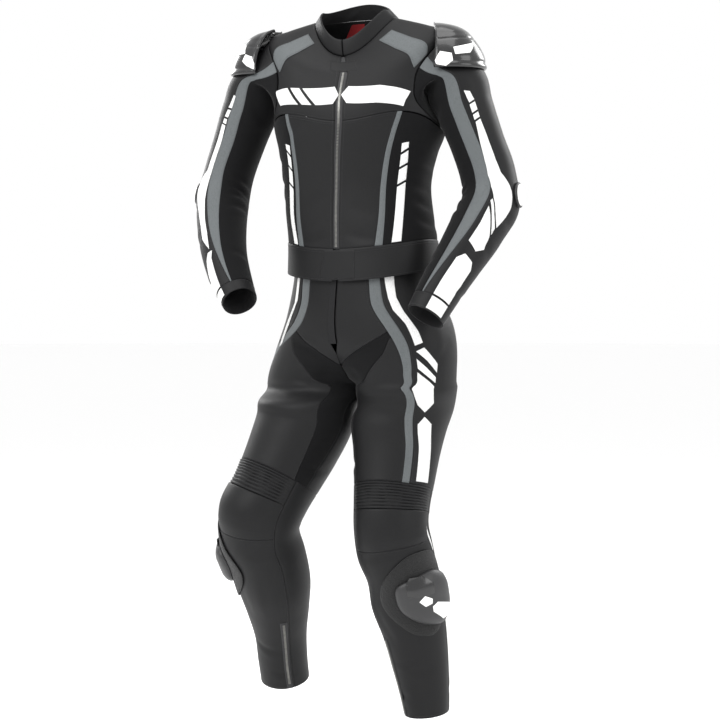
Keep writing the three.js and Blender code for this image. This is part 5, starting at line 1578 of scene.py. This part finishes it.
# The elbow sliders: domed discs of white polyurethane, each on a ring of satin black polyurethane
# that is sewn to the outside of the elbow.
def dome(name, cloth, under, middle, rim, height, rings, out, soft=False, **said):
    """A closed piece laid on a surface: rim gives its outline about the middle, height its
    thickness from the middle to the rim."""
    rim = np.radians(np.array(rim, float) * (1, 0)) + np.array(rim, float) * (0, 1)
    rings = np.array(rings, float)[:, None]
    angle = math.radians(middle[0]) + rings * rim[None, :, 0]
    at = middle[1] + rings * rim[None, :, 1]
    base = under["surface"](angle, at)
    normal = outward(under["surface"], angle, at, under["facing"])
    ground_here = creases(under["folds"], under["radius"], angle, at) if under["folds"] else 0 * at
    top = base + normal * (ground_here + out + height(rings + 0 * at))[..., None]
    foot = base + normal * (ground_here + out)[..., None]
    n, m = at.shape
    points = np.concatenate([top.reshape(-1, 3), foot.reshape(-1, 3)])
    faces = []
    for j in range(m):
        k = (j + 1) % m
        faces.append([0, m + j, m + k])
        faces.append([n * m, n * m + m + k, n * m + m + j])
        for i in range(1, n - 1):
            faces.append([i * m + j, (i + 1) * m + j, (i + 1) * m + k, i * m + k])
            faces.append([n * m + x for x in (i * m + j, i * m + k, (i + 1) * m + k, (i + 1) * m + j)])
        last = (n - 1) * m
        faces.append([last + j, n * m + last + j, n * m + last + k, last + k])
    used = sorted({i for f in faces for i in f})
    renamed = {old: new for new, old in enumerate(used)}
    faces = [[renamed[i] for i in f] for f in faces]
    points = points[used]
    if inside_out(points, np.array([f[:3] for f in faces])):
        faces = [f[::-1] for f in faces]
    spots = np.stack([angle * under["radius"], at], -1).reshape(-1, 2)
    made = mesh_object(name, points, faces, np.concatenate([spots, spots])[used])
    made.data.materials.append(cloth)
    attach(made, "root")
    return made


def ring_outline(angle, at, count):
    return [(angle * math.cos(TURN * i / count), at * math.sin(TURN * i / count)) for i in range(count)]


DOME_RINGS = (0, 0.2, 0.4, 0.58, 0.72, 0.83, 0.9, 0.95, 0.985, 1)
for side in SIDES:
    under = limb_under(sleeve_skins, side, ARM_RADIUS, SLEEVE_FOLDS, "sleeves")
    disc = dome(
        f"elbow_disc_{side}", white_shell, under, (97, 297), ring_outline(16.5, 15.6, 48),
        lambda share: 9.4 - 3.6 * share**3 - 1.0 * np.clip(share * 20 - 19, 0, 1), DOME_RINGS, 0.9,
    )
    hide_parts(f"elbow_slider_{side}")
    dome(
        f"elbow_ring_{side}", slider_plastic, under, (97, 297), ring_outline(20, 19, 48),
        lambda share: 4.6 - 1.0 * np.clip(share * 20 - 19, 0, 1), DOME_RINGS, 0.8,
    )

# The knee sliders: pucks of satin black polyurethane with white plates and a gloss window, held
# by hook-and-loop on a patch of black pile that is sewn over the knee.
def pile_cloth(name, colour, light):
    """Loop pile for hook-and-loop: very dark, fuzzy, roughness 1 with a soft sheen."""
    made = bpy.data.materials.new(name)
    made.use_nodes = True
    tree = made.node_tree
    shader = tree.nodes["Principled BSDF"]
    place = add(tree, "ShaderNodeTexCoord")
    fuzz = add(tree, "ShaderNodeTexNoise", {"Vector": place.outputs["Object"], "Scale": 900.0,
        "Detail": 5.0})
    tufts = add(tree, "ShaderNodeTexVoronoi", {"Vector": place.outputs["Object"], "Scale": 420.0})
    mixed = add(tree, "ShaderNodeMath", {0: fuzz.outputs["Fac"], 1: tufts.outputs["Distance"]},
        operation="ADD")
    tone = add(tree, "ShaderNodeMix", {"Factor": fuzz.outputs["Fac"], "A": linear(colour),
        "B": linear(light)},
               data_type="RGBA")
    bump = add(tree, "ShaderNodeBump", {"Strength": 0.9, "Distance": 0.001,
        "Height": mixed.outputs["Value"]})
    tree.links.new(tone.outputs["Result"], shader.inputs["Base Color"])
    tree.links.new(bump.outputs["Normal"], shader.inputs["Normal"])
    shader.inputs["Roughness"].default_value = 1.0
    shader.inputs["Sheen Weight"].default_value = 0.12
    shader.inputs["Sheen Roughness"].default_value = 0.6
    return made


loop_pile = pile_cloth("loop_pile", "060606", "0b0b0c")
PATCH = [
    dict(angle=60, at=0),
    dict(angle=54, at=30),
    dict(angle=40, at=58),
    dict(angle=14, at=86),
    dict(angle=-12, at=82),
    dict(angle=-32, at=66),
    dict(angle=-56, at=26),
    dict(angle=-66, at=-8),
    dict(angle=-58, at=-40),
    dict(angle=-30, at=-72),
    dict(angle=0, at=-88),
    dict(angle=36, at=-80),
    dict(angle=52, at=-46),
]
PUCK = [
    dict(angle=48, at=0),
    dict(angle=44, at=34),
    dict(angle=22, at=58),
    dict(angle=-2, at=54),
    dict(angle=-26, at=36),
    dict(angle=-44, at=6),
    dict(angle=-48, at=-30),
    dict(angle=-40, at=-46),
    dict(angle=-18, at=-52),
    dict(angle=10, at=-56),
    dict(angle=34, at=-42),
    dict(angle=46, at=-22),
]
SLIDER = {
    "left": dict(patch=(31, 714), puck=(41, 722)),
    "right": dict(patch=(62, 686), puck=(72, 690)),
}


def smooth_outline(corners, count=5):
    """A smooth closed curve through the corners of an outline."""
    places = np.array([(c["angle"], c["at"]) for c in corners], float)
    wrapped = np.concatenate([places[-2:], places, places[:3]])
    at = np.arange(len(wrapped), dtype=float)
    want = 2 + np.arange(len(places) * count) / count
    return np.stack([through(at, wrapped[:, k], want) for k in (0, 1)], -1).tolist()


PUCK_OUT = 5.5
puck_rim = np.array(smooth_outline(PUCK))


def puck_height(share):
    return 19.5 - 13.5 * np.clip(share, 0, 1) ** 4 - 1.2 * np.clip(share * 24 - 23, 0, 1)


def puck_top(middle):
    """How far the puck's top stands off the leg's skin, at an angle and a station."""
    bearing = np.arctan2(puck_rim[:, 1] / 60, puck_rim[:, 0] / 48)
    reach = np.hypot(puck_rim[:, 1] / 60, puck_rim[:, 0] / 48)
    order = np.argsort(bearing)

    def above(angle, at):
        across, down = (np.degrees(angle) - middle[0]) / 48, (at - middle[1]) / 60
        far = np.interp(np.arctan2(down, across), bearing[order], reach[order], period=TURN)
        return PUCK_OUT + puck_height(np.hypot(across, down) / far)

    return above


PUCK_WINDOW = [(-31, -46), (-23, -58), (-4, -54), (5, -38), (3, -18), (-17, -19), (-31, -28)]
PUCK_WHITE = [
    [(-18, -11), (-10, -20), (-1, -9), (-2, 1), (-11, 3)],
    [(-2, 8), (6, 3), (40, 30), (30, 46), (12, 46), (-2, 20)],
]
for side in SIDES:
    under = limb_under(leg_skins, side, LEG_RADIUS, LEG_FOLDS, "trousers")
    patch = dome(
        f"slider_patch_cut_{side}", loop_pile, under, SLIDER[side]["patch"], smooth_outline(PATCH),
        lambda share: 2.4 - 0.8 * np.clip(share * 30 - 29, 0, 1),
            (0, 0.15, 0.3, 0.45, 0.6, 0.75, 0.87, 0.96, 1), 1.9,
        soft=True, rests_on=(f"knee_cup_{side}", f"shin_{side}"),
    )
    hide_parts(f"slider_patch_{side}")
    middle = SLIDER[side]["puck"]
    puck = dome(
        f"knee_puck_{side}", slider_plastic, under, middle, puck_rim.tolist(), puck_height, DOME_RINGS,
            PUCK_OUT,
    )
    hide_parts(f"knee_slider_{side}")
    under = dict(under, above=puck_top(middle))
    sign = 1 if side == "left" else 1
    window = [(middle[0] + sign * a, middle[1] + s) for a, s in PUCK_WINDOW]
    inlay(f"puck_window_{side}", gloss_shell, under, [window], lift=-0.6, wall=1.2, sewn=False)
    plates = [[(middle[0] + a, middle[1] + s) for a, s in plate] for plate in PUCK_WHITE]
    inlay(f"puck_plates_{side}", white_shell, under, plates, lift=-0.6, wall=1.5, sewn=False)

# The topstitching: polyester thread, 3.6 mm from stitch to stitch, in one object per part of the
# suit. Black thread on the leather, pale thread on the white pieces.
def thread(name, low, high):
    """Bonded polyester thread: twisted, slightly glossy, roughness 0.45."""
    made = bpy.data.materials.new(name)
    made.use_nodes = True
    tree = made.node_tree
    shader = tree.nodes["Principled BSDF"]
    place = add(tree, "ShaderNodeTexCoord")
    twist = add(tree, "ShaderNodeTexNoise", {"Vector": place.outputs["Object"], "Scale": 1500.0,
        "Detail": 1.0})
    tone = add(tree, "ShaderNodeMix", {"Factor": twist.outputs["Fac"], "A": linear(low), "B": linear(high)},
               data_type="RGBA")
    tree.links.new(tone.outputs["Result"], shader.inputs["Base Color"])
    shader.inputs["Roughness"].default_value = 0.45
    return made


black_thread = thread("black_thread", "161617", "2e2e30")
pale_thread = thread("pale_thread", "c9c9c6", "e2e2df")
STITCH_PITCH = 3.6
STITCH_LONG = 2.6
STITCH_WIDE = 0.7
STITCH_HIGH = 0.55
for group, lines in stitch_lines.items():
    spots, along, normals = [], [], []
    for points, up in lines:
        gone = np.concatenate([[0], np.cumsum(np.linalg.norm(np.diff(points, axis=0), axis=1))])
        if gone[-1] < 2 * STITCH_PITCH:
            continue
        places = np.arange(STITCH_PITCH / 2, gone[-1], STITCH_PITCH)
        place = np.stack([np.interp(places, gone, points[:, k]) for k in range(3)], -1)
        ahead = np.stack([np.interp(places + 0.5, gone, points[:, k]) for k in range(3)], -1)
        behind = np.stack([np.interp(places - 0.5, gone, points[:, k]) for k in range(3)], -1)
        normal = np.stack([np.interp(places, gone, up[:, k]) for k in range(3)], -1)
        spots.append(place)
        along.append(unit(ahead - behind))
        normals.append(unit(normal))
    if not spots:
        continue
    spots, along, normals = (np.concatenate(part) for part in (spots, along, normals))
    sideways = np.cross(normals, along)
    offsets = np.array(
        [(-STITCH_LONG / 2, 0, 0), (0, -STITCH_WIDE / 2, 0.1), (0, 0, STITCH_HIGH),
            (0, STITCH_WIDE / 2, 0.1),
         (STITCH_LONG / 2, 0, 0), (0, 0, -0.15)]
    )
    points = (
        spots[:, None] + along[:, None] * offsets[None, :, :1] + sideways[:, None] * offsets[None, :, 1:2]
        + normals[:, None] * offsets[None, :, 2:]
    ).reshape(-1, 3)
    boat = np.array([(0, 1, 2), (0, 2, 3), (0, 3, 5), (0, 5, 1), (4, 2, 1), (4, 3, 2), (4, 5, 3),
        (4, 1, 5)])
    faces = (boat[None] + 6 * np.arange(len(spots))[:, None, None]).reshape(-1, 3)
    if inside_out(points, faces):
        faces = faces[:, ::-1]
    stitches = mesh_object(f"stitches_{group}", points, faces)
    stitches.data.materials.append(pale_thread if group == "white" else black_thread)
    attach(stitches, "root")
